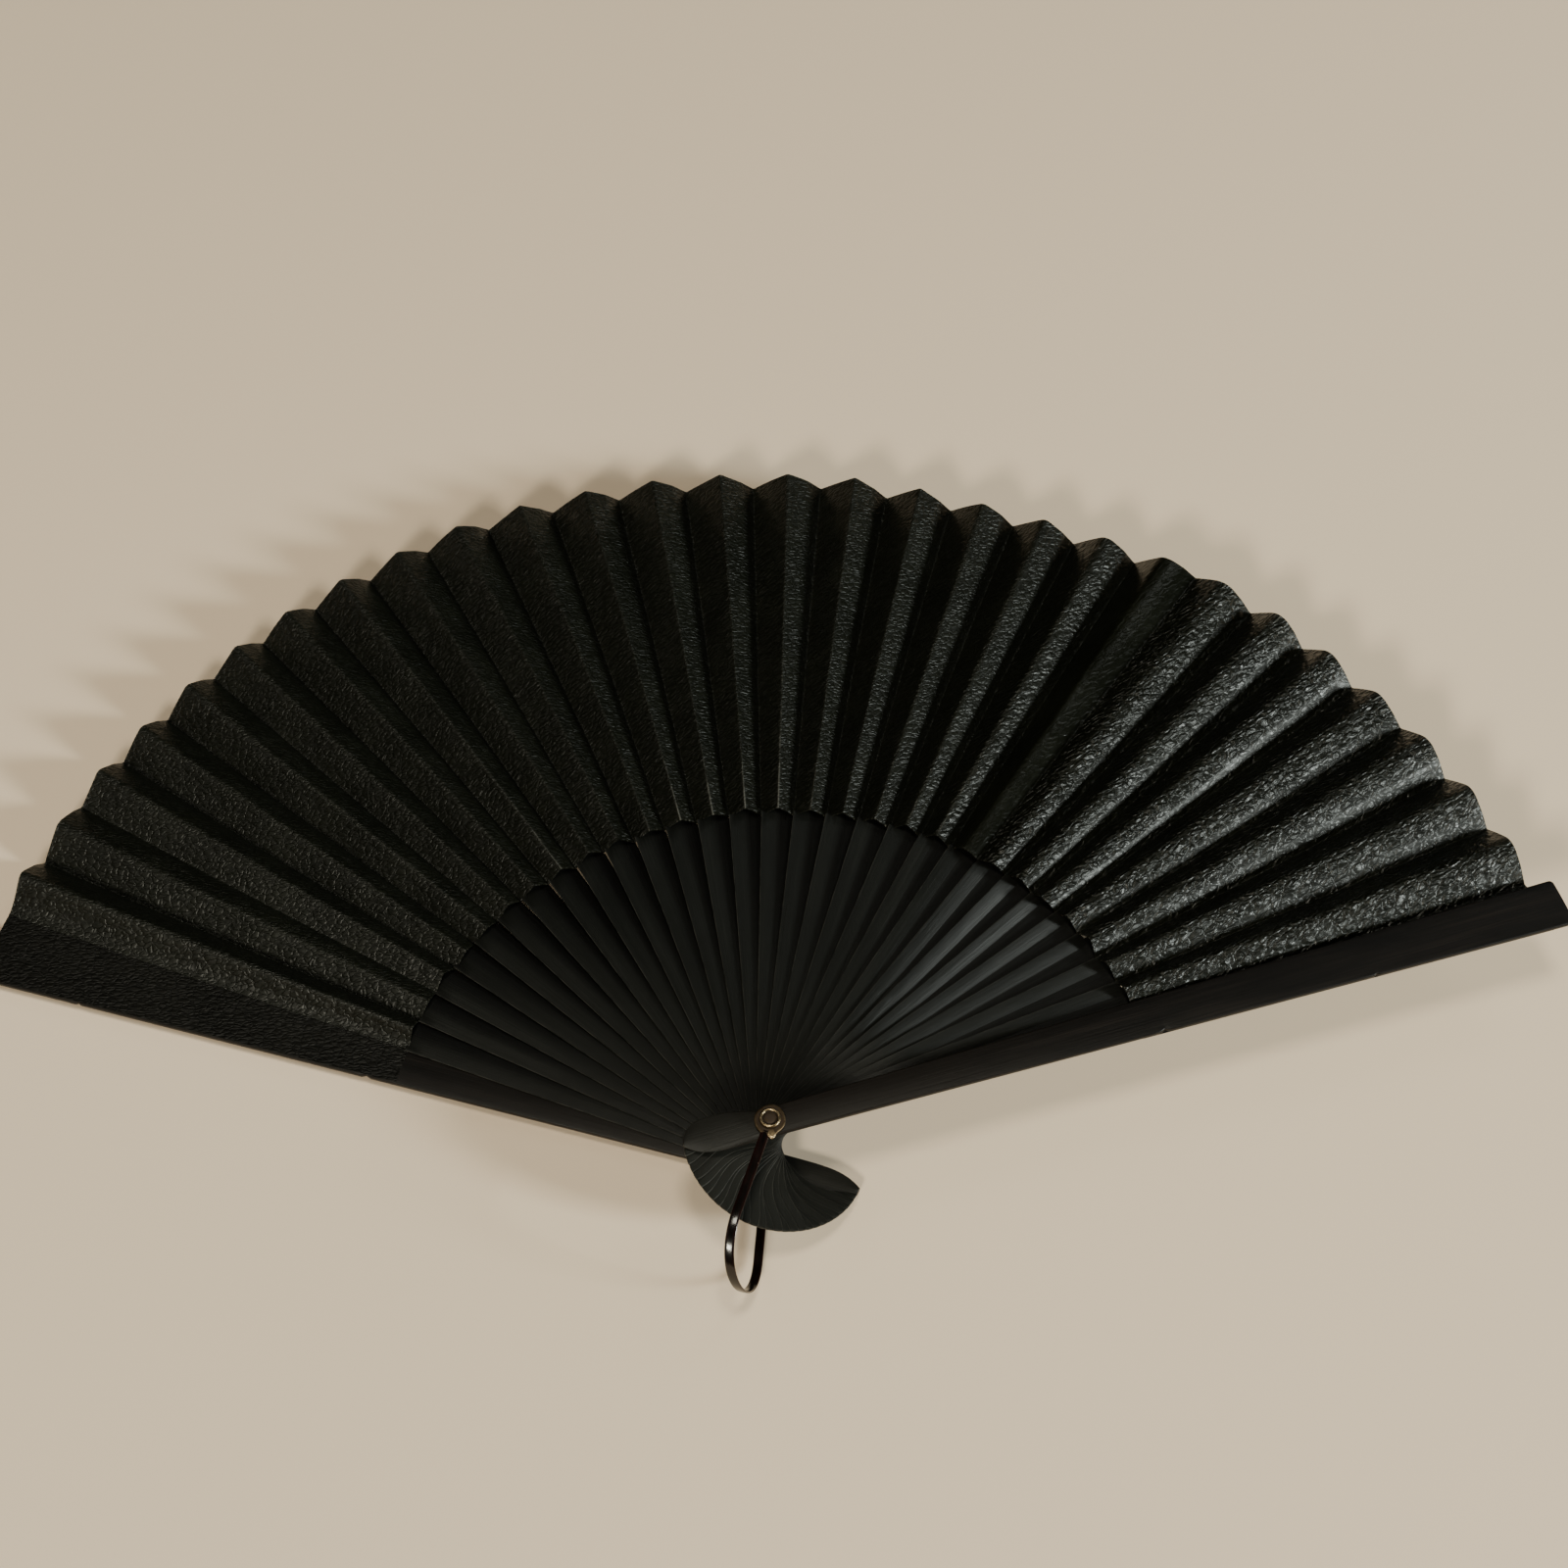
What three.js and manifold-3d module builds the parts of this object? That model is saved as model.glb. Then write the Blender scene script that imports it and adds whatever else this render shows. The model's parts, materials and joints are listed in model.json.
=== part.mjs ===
// Folding fan, lying open. Millimetres, +Z up. The sticks turn about Z on one rivet, each in a
// layer of its own, so that they slide over one another from open to closed.
// Origin: on the rivet's axis, at the flat rear face of the rivet. +Y: middle of the open leaf.
import * as THREE from 'three';
import { mergeVertices } from 'three/addons/utils/BufferGeometryUtils.js';
import Module from 'manifold-3d';

// Driving dimensions
const ribCount = 28;
const stickPitchDeg = 5.05;      // angle from one stick to the next in the open fan
const leafRadius = 197;
const leafInnerRadius = 91.5;
const pleatDepth = 6;            // ridge to valley at the leaf's outer edge
const paperThickness = 0.3;
const flapWidth = 3;             // leaf past each guard's middle, at the leaf's inner edge
const ribThickness = 0.58;
const ribNeckWidth = 6.2;
const ribBladeWidth = 8.2;       // at the leaf's inner edge
const ribStripWidth = 2.5;       // the part under the leaf
const guardThickness = 1.7;
const guardNeckWidth = 7;
const guardTipWidth = 12.6;
const guardOverhang = 5;         // past the leaf's outer edge
const tailLength = 22.5;
const tailFlare = 5.85;          // tail's widest reach, on its left side
const rivetDiameter = 2.8;
const rivetHeadDiameter = 5;
const rivetHeadHeight = 1;
const eyeDiameter = 8.6;
const bailThickness = 0.6;
const bailWidth = 2.3;
const bailReach = 14;            // past the tails' ends, to the far end of the loop
const bailFrontDeg = 251;
const bailRearDeg = 264;

// Clearances
const layerGap = 0.12;           // between neighbouring sticks
const boreGap = 0.1;             // round the rivet's shank
const eyeGap = 0.1;              // over and under each eye
const seatGap = 0.05;            // paper to what it is glued on
const pleatGap = 0.04;           // between neighbouring leaf sections, in the valley
const shoulderGap = 0.3;         // rib shoulder to the leaf's inner edge
const ribTipSetback = 5;         // rib tip to the leaf's outer edge
const loopGap = 1.5;             // tail's end to where the loop starts to bend

// Derived sizes
const RAD = Math.PI / 180;
const pitch = stickPitchDeg * RAD;
const slope = pleatDepth / (leafRadius * pitch / 2);
const rise = pleatDepth / (2 * leafRadius);          // ridge height for each mm of radius
const paperHalf = paperThickness / 2 * Math.hypot(1, slope);
const seatHeight = ribThickness + seatGap + ribStripWidth / 2 * slope + paperHalf;
const guardLength = leafRadius + guardOverhang;
const ribPitch = ribThickness + layerGap;

// Heights of the layers
const rearGuardZ = rivetHeadHeight + eyeGap + bailThickness + eyeGap;
const firstRibZ = rearGuardZ + guardThickness + layerGap;
const ribZ = (i) => firstRibZ + (i - 1) * ribPitch;
const ribTopZ = ribZ(ribCount) + ribThickness;
const frontGuardZ = Math.max(ribTopZ + layerGap, lastFacetTop() + layerGap);
const frontEyeZ = frontGuardZ + guardThickness + eyeGap;
const frontHeadZ = frontEyeZ + bailThickness + eyeGap;

// Angles: the sticks are spread evenly about +Y, the rear guard is stick 0.
const stickAngle = (i) => Math.PI / 2 + ((ribCount + 1) / 2 - i) * pitch;

const PAINT = {
  guard: new THREE.MeshStandardMaterial({ color: 0x1d1714, roughness: 0.45 }),
  rib: new THREE.MeshStandardMaterial({ color: 0x141414, roughness: 0.4 }),
  leaf: new THREE.MeshStandardMaterial({ color: 0x191b1a, roughness: 0.6 }),
  brass: new THREE.MeshStandardMaterial({ color: 0x9a7440, roughness: 0.35, metalness: 1 }),
  bail: new THREE.MeshStandardMaterial({ color: 0x2a1310, roughness: 0.25 }),
};

// Half the guard's width at radius r: it widens evenly from the neck to the tip.
function guardHalfWidth(r) {
  return (guardNeckWidth + (guardTipWidth - guardNeckWidth) * r / guardLength) / 2;
}

// Highest point of the last facet where the front guard's edge passes over it.
function lastFacetTop() {
  const fromRidge = leafInnerRadius * pitch - guardHalfWidth(leafInnerRadius);
  const across = Math.max(0, fromRidge);
  return ribZ(ribCount) + seatHeight + rise * leafInnerRadius - slope * across + paperHalf;
}

// Both edges of a tail, each running from its end to the neck. The left side flares and then rounds
// off, the right side tapers. The end point is shared.
function tailEdges(neckWidth) {
  const neck = neckWidth / 2;
  const start = 0.1;                                 // shares of the tail's length
  const bend = 0.62;
  const shares = Array.from({ length: 18 }, (_, k) => start + (1 - start) * Math.cos(Math.PI * k / 34));
  const left = shares.map((u) => {
    const s = Math.min(1, (u - start) / (bend - start));
    const e = Math.max(0, (u - bend) / (1 - bend));
    return [-u * tailLength, (neck + (tailFlare - neck) * s * (2 - s)) * Math.sqrt(1 - e ** 2.5)];
  });
  const right = shares.slice(1).map((u) => {
    const taper = ((u - start) / (1 - start)) ** 3;
    return [-u * tailLength, -neck * (1 - taper)];
  });
  return { left, right };
}

function circlePoints(radius, count) {
  return Array.from({ length: count }, (_, k) => {
    const turn = 2 * Math.PI * k / count;
    return new THREE.Vector2(radius * Math.cos(turn), radius * Math.sin(turn));
  });
}

// A flat stick along +X with a bore at the origin, from one side's edge and the other's.
function stickSolid(leftEdge, rightEdge, thickness) {
  const outline = [...leftEdge, ...rightEdge.slice().reverse()];
  const shape = new THREE.Shape(outline.map(([x, y]) => new THREE.Vector2(x, y)));
  shape.holes.push(new THREE.Path(circlePoints(rivetDiameter / 2 + boreGap, 20)));
  return new THREE.ExtrudeGeometry(shape, { depth: thickness, bevelEnabled: false });
}

function ribSolid() {
  const tail = tailEdges(ribNeckWidth);
  const shoulder = leafInnerRadius - shoulderGap;
  const half = ribBladeWidth / 2;
  const tip = leafRadius - ribTipSetback;
  const lean = (r) => -r * Math.tan(pitch / 4);      // the strip lies under the facet's middle
  const strip = ribStripWidth / 2;
  const left = [...tail.left, [shoulder, half], [shoulder, lean(shoulder) + strip],
    [tip, lean(tip) + strip]];
  const right = [...tail.right, [shoulder, -half], [shoulder, lean(shoulder) - strip],
    [tip, lean(tip) - strip]];
  return stickSolid(left, right, ribThickness);
}

function guardSolid() {
  const tail = tailEdges(guardNeckWidth);
  const half = guardHalfWidth(guardLength);
  const corner = guardThickness / 2;
  const side = [[guardLength - corner, half], [guardLength, half - corner]];
  const left = [...tail.left, ...side];
  const right = [...tail.right, ...side.map(([x, y]) => [x, -y])];
  return stickSolid(left, right, guardThickness);
}

// The leaf is drawn through stations, in the frame of the rib that carries it: the rib lies along
// +X with its under side at zero. A station has an angle, a height at radius r, and a distance
// that it is moved sideways, which leaves the small gap between sections.
const ridge = { angle: 0, z: (r) => seatHeight + rise * r, aside: 0 };
const valleyAfter = { angle: -pitch / 2, z: (r) => seatHeight - rise * r, aside: pleatGap / 2 };
const valleyBefore = {
  angle: pitch / 2, z: (r) => seatHeight - ribPitch - rise * r, aside: -pleatGap / 2,
};

function stationPoint(station, r, lift) {
  const turn = station.angle + station.aside / r;
  return [r * Math.cos(turn), r * Math.sin(turn), station.z(r) + lift];
}

// A sheet through the stations, from the leaf's inner radius to its outer one.
function pleatSolid(stations) {
  const points = [];
  for (const station of stations) {
    for (const r of [leafInnerRadius, leafRadius]) {
      points.push(stationPoint(station, r, paperHalf), stationPoint(station, r, -paperHalf));
    }
  }
  const faces = [];
  const quad = (a, b, c, d) => faces.push(a, b, c, a, c, d);
  const last = (stations.length - 1) * 4;
  for (let k = 0; k < last; k += 4) {
    quad(k, k + 4, k + 6, k + 2);                    // upper side
    quad(k + 1, k + 3, k + 7, k + 5);                // under side
    quad(k, k + 1, k + 5, k + 4);                    // inner edge
    quad(k + 2, k + 6, k + 7, k + 3);                // outer edge
  }
  quad(0, 2, 3, 1);
  quad(last, last + 1, last + 3, last + 2);
  const geometry = new THREE.BufferGeometry();
  geometry.setAttribute('position', new THREE.Float32BufferAttribute(points.flat(), 3));
  geometry.setIndex(faces);
  return geometry;
}

// Stations of the flap glued on the rear guard, up to the first valley, seen from the first rib.
function rearFlap() {
  const z = () => seatGap + paperHalf - layerGap;
  const past = flapWidth / leafInnerRadius;
  return [{ angle: pitch + past, z, aside: 0 }, { angle: pitch / 2, z, aside: 0 }];
}

// Stations of the flap glued under the front guard, after the last valley, seen from the last rib.
function frontFlap() {
  const z = () => frontGuardZ - ribZ(ribCount) - seatGap - paperHalf;
  const past = flapWidth / leafInnerRadius;
  return [{ angle: -pitch + past / 3, z, aside: 0 }, { angle: -pitch - past, z, aside: 0 }];
}

// The ridge over rib i and the facets beside it. Only the first and the last section differ.
function leafSolid(i) {
  const before = i === 1 ? rearFlap() : [valleyBefore];
  const after = i === ribCount ? [valleyAfter, ...frontFlap()] : [valleyAfter];
  return pleatSolid([...before, ridge, ...after]);
}

function rivetSolid() {
  const shank = rivetDiameter / 2;
  const head = rivetHeadDiameter / 2;
  const top = frontHeadZ + rivetHeadHeight;
  const soft = rivetHeadHeight / 3;
  const profile = [[0, 0], [head, 0], [head, rivetHeadHeight], [shank, rivetHeadHeight],
    [shank, frontHeadZ], [head, frontHeadZ], [head, top - soft], [head - soft, top], [0, top]];
  const points = profile.map(([r, z]) => new THREE.Vector2(r, z));
  return new THREE.LatheGeometry(points, 24).rotateX(Math.PI / 2);
}

// Centre line of the bail from the front eye to the rear eye, as [distance, height] pairs.
function bailLine() {
  const high = frontEyeZ + bailThickness / 2;
  const low = rivetHeadHeight + eyeGap + bailThickness / 2;
  const middle = (high + low) / 2;
  const start = tailLength + loopGap;
  const reach = tailLength + bailReach - bailThickness / 2 - start;
  const bight = Array.from({ length: 17 }, (_, k) => {
    const turn = Math.PI * (k / 16);
    return [start + reach * Math.sin(turn), middle + (high - low) / 2 * Math.cos(turn)];
  });
  const root = eyeDiameter / 2 - bailWidth / 2;
  return [[root, high], ...bight, [root, low]];
}

function bailPoint([distance, z], high, low) {
  const share = (high - z) / (high - low);
  const turn = (bailFrontDeg + (bailRearDeg - bailFrontDeg) * share) * RAD;
  return new THREE.Vector3(distance * Math.cos(turn), distance * Math.sin(turn), z);
}

// The strip: a rectangle carried along the bail's centre line.
function bailStrip() {
  const line = bailLine();
  const high = line[0][1];
  const low = line[line.length - 1][1];
  const path = line.map((p) => bailPoint(p, high, low));
  const middleTurn = (bailFrontDeg + bailRearDeg) / 2 * RAD;
  const across = new THREE.Vector3(-Math.sin(middleTurn), Math.cos(middleTurn), 0);
  const points = [];
  path.forEach((p, k) => {
    const ahead = path[Math.min(k + 1, path.length - 1)];
    const tangent = ahead.clone().sub(path[Math.max(k - 1, 0)]).normalize();
    if (k < 2) tangent.copy(path[1]).sub(path[0]).normalize();
    if (k > path.length - 3) tangent.copy(path[path.length - 1]).sub(path[path.length - 2]).normalize();
    const out = tangent.clone().cross(across).normalize().multiplyScalar(bailThickness / 2);
    const side = across.clone().multiplyScalar(bailWidth / 2);
    for (const [a, b] of [[1, 1], [-1, 1], [-1, -1], [1, -1]]) {
      points.push(p.clone().addScaledVector(out, a).addScaledVector(side, b).toArray());
    }
  });
  return sweptSolid(points, path.length);
}

// Closed body from rows of four corners.
function sweptSolid(points, rows) {
  const faces = [];
  for (let k = 0; k < rows - 1; k += 1) {
    for (let c = 0; c < 4; c += 1) {
      const a = 4 * k + c;
      const b = 4 * k + (c + 1) % 4;
      faces.push(a, b + 4, b, a, a + 4, b + 4);
    }
  }
  const end = 4 * (rows - 1);
  faces.push(0, 1, 2, 0, 2, 3, end, end + 2, end + 1, end, end + 3, end + 2);
  const geometry = new THREE.BufferGeometry();
  geometry.setAttribute('position', new THREE.Float32BufferAttribute(points.flat(), 3));
  geometry.setIndex(faces);
  return geometry;
}

function eyeSolid(z) {
  const shape = new THREE.Shape(circlePoints(eyeDiameter / 2, 32));
  shape.holes.push(new THREE.Path(circlePoints(rivetDiameter / 2 + boreGap, 20)));
  const options = { depth: bailThickness, bevelEnabled: false };
  return new THREE.ExtrudeGeometry(shape, options).translate(0, 0, z);
}

const manifold = await Module();
manifold.setup();

function toManifold(geometry) {
  const bare = geometry.clone();
  bare.deleteAttribute('normal');
  bare.deleteAttribute('uv');
  const merged = mergeVertices(bare, 1e-4);
  return new manifold.Manifold(new manifold.Mesh({
    numProp: 3,
    vertProperties: new Float32Array(merged.attributes.position.array),
    triVerts: new Uint32Array(merged.index.array),
  }));
}

function toGeometry(solid) {
  const mesh = solid.getMesh();
  const geometry = new THREE.BufferGeometry();
  geometry.setAttribute('position', new THREE.BufferAttribute(mesh.vertProperties, 3));
  geometry.setIndex(Array.from(mesh.triVerts));
  return geometry;
}

function bailSolid() {
  const rearEyeZ = rivetHeadHeight + eyeGap;
  const solids = [bailStrip(), eyeSolid(frontEyeZ), eyeSolid(rearEyeZ)].map(toManifold);
  return toGeometry(manifold.Manifold.union(solids));
}

const fan = new THREE.Group();
fan.name = 'folding_fan';

// A group for stick i: +X along the stick, zero at its under side.
function stickGroup(i, z) {
  const group = new THREE.Group();
  group.rotation.z = stickAngle(i);
  group.position.z = z;
  fan.add(group);
  return group;
}

function add(parent, name, geometry, material) {
  const mesh = new THREE.Mesh(geometry, material);
  mesh.name = name;
  parent.add(mesh);
}

const numbered = (stem, i) => `${stem}_${String(i).padStart(2, '0')}`;
const guardGeometry = guardSolid();
const ribGeometry = ribSolid();

add(stickGroup(0, rearGuardZ), 'rear_guard', guardGeometry, PAINT.guard);
for (let i = 1; i <= ribCount; i += 1) {
  const group = stickGroup(i, ribZ(i));
  add(group, numbered('rib', i), ribGeometry, PAINT.rib);
  add(group, numbered('leaf', i), leafSolid(i), PAINT.leaf);
}
add(stickGroup(ribCount + 1, frontGuardZ), 'front_guard', guardGeometry, PAINT.guard);
add(fan, 'rivet', rivetSolid(), PAINT.brass);
add(fan, 'bail', bailSolid(), PAINT.bail);

export default fan;
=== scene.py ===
"""Looks of a black folding fan that lies open: sticks, pleated leaf, rivet and bail.

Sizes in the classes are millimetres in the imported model's own axes, and meshes are made in metres.
The rivet's axis is Z, and the middle of the open leaf lies along +Y.
"""

import json
import logging
import math
from collections.abc import Callable, Iterator, Sequence
from dataclasses import dataclass, field, replace
from enum import Enum
from typing import Any, NamedTuple

import bpy
import numpy as np
from mathutils import Matrix, Vector


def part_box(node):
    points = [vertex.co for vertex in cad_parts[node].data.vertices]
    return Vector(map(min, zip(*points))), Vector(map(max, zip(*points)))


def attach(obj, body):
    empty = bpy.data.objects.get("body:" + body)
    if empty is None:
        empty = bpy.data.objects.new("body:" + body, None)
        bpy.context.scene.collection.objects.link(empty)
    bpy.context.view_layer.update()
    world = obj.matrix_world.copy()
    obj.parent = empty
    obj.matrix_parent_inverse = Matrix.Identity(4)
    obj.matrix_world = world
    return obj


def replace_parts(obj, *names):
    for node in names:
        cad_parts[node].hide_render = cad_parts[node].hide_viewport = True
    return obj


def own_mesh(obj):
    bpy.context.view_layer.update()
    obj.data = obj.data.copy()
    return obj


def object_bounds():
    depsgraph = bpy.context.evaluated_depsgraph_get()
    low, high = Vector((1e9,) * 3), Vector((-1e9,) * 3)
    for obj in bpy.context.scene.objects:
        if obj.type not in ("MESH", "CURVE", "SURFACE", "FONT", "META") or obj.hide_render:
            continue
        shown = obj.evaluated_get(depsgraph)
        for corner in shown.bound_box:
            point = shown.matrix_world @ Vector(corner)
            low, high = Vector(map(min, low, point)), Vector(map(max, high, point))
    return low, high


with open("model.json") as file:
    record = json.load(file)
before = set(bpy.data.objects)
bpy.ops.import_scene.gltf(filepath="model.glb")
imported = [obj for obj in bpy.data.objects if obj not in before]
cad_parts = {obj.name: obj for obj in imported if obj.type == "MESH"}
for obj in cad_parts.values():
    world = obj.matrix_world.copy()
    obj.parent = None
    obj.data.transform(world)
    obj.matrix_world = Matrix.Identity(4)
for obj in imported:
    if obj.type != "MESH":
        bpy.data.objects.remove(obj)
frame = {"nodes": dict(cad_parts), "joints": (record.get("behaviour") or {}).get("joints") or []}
cad_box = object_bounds()

MM = 0.001
LOG = logging.getLogger("fan")

# In millimetres: reach of a measurement, a distance that no mark's effect spans, least turned radius.
NEAR, FAR, LEAST_RADIUS = 0.1, 99.0, 0.01

# The third part of the marks "fold" and "grain" tells ridges, ribs and guards apart in steps of these.
RIDGE_MARK = 7.0
RIB_MARK = 13.0
GUARD_MARK, GUARD_MARK_STEP = 400.0, 31.0

Colour = tuple[float, float, float]
Span = tuple[float, float]
Table = tuple[tuple[int, float], ...]
Waves = tuple[tuple[float, float, float], ...]
Values = np.ndarray | float
Marks = dict[str, np.ndarray]
Faces = list[list[int]]
Piece = bpy.types.Object
Term = Any

# Columns of a facet's mesh, from its ridge to its valley.
ACROSS_FACET = np.array((
    0.0, 0.015, 0.035, 0.06, 0.1, 0.15, 0.21, 0.28, 0.36, 0.47,
    0.54, 0.59, 0.64, 0.7, 0.8, 0.9, 0.96, 0.985, 1.0,
))


class Slot(Enum):
    """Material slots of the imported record."""

    GUARD = "guard"
    RIB = "rib"
    LEAF = "leaf"
    BRASS = "brass"
    STRIP = "bail_strip"


class Facet(Enum):
    """The two ways a facet of the leaf slopes, seen from the rear guard towards the front guard."""

    FALL = "fall"
    RISE = "rise"


class Face(Enum):
    """The two ends of the rivet."""

    FRONT = "front"
    REAR = "rear"


def operator(operation: str, is_reflected: bool = False) -> Callable[["Tone", Term], "Tone"]:
    """A method for one of Python's operators.

    Args:
        operation: the Math node's operation.
        is_reflected: whether the tone stands on the right.

    Returns:
        The method.
    """

    def apply(tone: "Tone", other: Term) -> "Tone":
        """The operator's result, as a new tone."""
        return tone.bench.maths(operation, *((other, tone) if is_reflected else (tone, other)))

    return apply


class Tone:
    """A number, colour or vector on its way through a finish: one socket, with Python's operators."""

    def __init__(self, bench: "Bench", socket: bpy.types.NodeSocket) -> None:
        """Keeps the socket and the bench that adds the nodes."""
        self.bench = bench
        self.socket = socket

    __add__, __radd__ = operator("ADD"), operator("ADD", True)
    __sub__, __rsub__ = operator("SUBTRACT"), operator("SUBTRACT", True)
    __mul__, __rmul__ = operator("MULTIPLY"), operator("MULTIPLY", True)
    __truediv__, __rtruediv__ = operator("DIVIDE"), operator("DIVIDE", True)

    def step(self, low: float, high: float) -> "Tone":
        """A soft step from 0 at low to 1 at high, or falling where low is the larger."""
        sockets = {"Value": self, "From Min": low, "From Max": high}
        return self.bench.add("ShaderNodeMapRange", {"interpolation_type": "SMOOTHSTEP"}, sockets)


class Bench:
    """Adds the nodes of one material."""

    def __init__(self, material: bpy.types.Material) -> None:
        """Clears the material's nodes and keeps its tree."""
        material.use_nodes = True
        self.tree = material.node_tree
        self.tree.nodes.clear()

    def add(
        self,
        kind: str,
        settings: dict[str, Any] | None = None,
        sockets: dict[str | int, Term] | None = None,
        output: str | int = 0,
    ) -> Tone:
        """Adds one node.

        Args:
            kind: the node's type.
            settings: the node's own options, set before its sockets.
            sockets: values or links of its input sockets, by name or number.
            output: the output socket to go on with.

        Returns:
            That output socket.
        """
        node = self.tree.nodes.new(kind)
        for name, value in (settings or {}).items():
            setattr(node, name, value)
        for key, value in (sockets or {}).items():
            self._feed(node.inputs[key], value)
        return Tone(self, node.outputs[output]) if node.outputs else Tone(self, node.inputs[0])

    def _feed(self, socket: bpy.types.NodeSocket, value: Term) -> None:
        """Links a tone to a socket, or sets a plain value on it.

        Args:
            socket: an input socket.
            value: a tone, a number, or a colour or vector.
        """
        if isinstance(value, Tone):
            self.tree.links.new(value.socket, socket)
        elif socket.type == "RGBA":
            socket.default_value = (*value, 1.0)
        else:
            socket.default_value = value

    def maths(self, operation: str, *terms: Term) -> Tone:
        """A Math node on numbers."""
        return self.add("ShaderNodeMath", {"operation": operation}, dict(enumerate(terms)))

    def mark(self, label: str, part: str = "Vector") -> Tone:
        """A mark that the mesh carries on its points, as a vector or as a number ("Fac")."""
        return self.add("ShaderNodeAttribute", {"attribute_name": label}, output=part)

    def stretch(self, vector: Tone, scale: Sequence[float]) -> Tone:
        """A vector with each of its parts times its own scale."""
        return self.add("ShaderNodeVectorMath", {"operation": "MULTIPLY"}, {0: vector, 1: tuple(scale)})

    def part(self, vector: Tone, axis: str) -> Tone:
        """One part, X, Y or Z, of a vector."""
        return self.add("ShaderNodeSeparateXYZ", None, {"Vector": vector}, axis)

    def noise(self, place: Tone, scale: Span, detail: float = 3.0, roughness: float = 0.55) -> Tone:
        """Cloudy noise from 0 to 1, with so many clouds to a millimetre along and across."""
        sockets = {"Vector": self.stretch(place, (*scale, 1.0)), "Detail": detail, "Roughness": roughness}
        return self.add("ShaderNodeTexNoise", None, {**sockets, "Scale": 1.0}, "Fac")

    def blend(self, share: Term, first: Term, second: Term) -> Tone:
        """A colour between two others: a share of 0 gives the first and 1 the second."""
        return self.add("ShaderNodeMix", {"data_type": "RGBA"}, {0: share, 6: first, 7: second}, 2)

    def cells(self, feature: str, place: Tone) -> Tone:
        """Distance in a pattern of cells, from the cell's middle or edge as the feature says."""
        sockets = {"Vector": place, "Scale": 1.0}
        return self.add("ShaderNodeTexVoronoi", {"feature": feature}, sockets, "Distance")

    def bump(self, height: Tone, depth: float) -> Tone:
        """A normal roughened by a height, where 1 is so many millimetres deep."""
        return self.add("ShaderNodeBump", None, {"Height": height, "Distance": depth * MM})

    def surface(self, sockets: dict[str, Term]) -> None:
        """Ends the material in a Principled shader with these sockets."""
        shader = self.add("ShaderNodeBsdfPrincipled", None, sockets)
        self.add("ShaderNodeOutputMaterial", None, {"Surface": shader})


@dataclass(frozen=True)
class Finish:
    """A finish that pieces share; each kind paints its own nodes."""

    name: str

    def material(self) -> bpy.types.Material:
        """Makes the material of this finish on first use.

        Returns:
            The material.
        """
        found = bpy.data.materials.get(self.name)
        if found is None:
            found = bpy.data.materials.new(self.name)
            self.paint(Bench(found))
        return found

    def paint(self, bench: Bench) -> None:
        """Adds the nodes of the finish."""
        raise NotImplementedError


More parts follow.
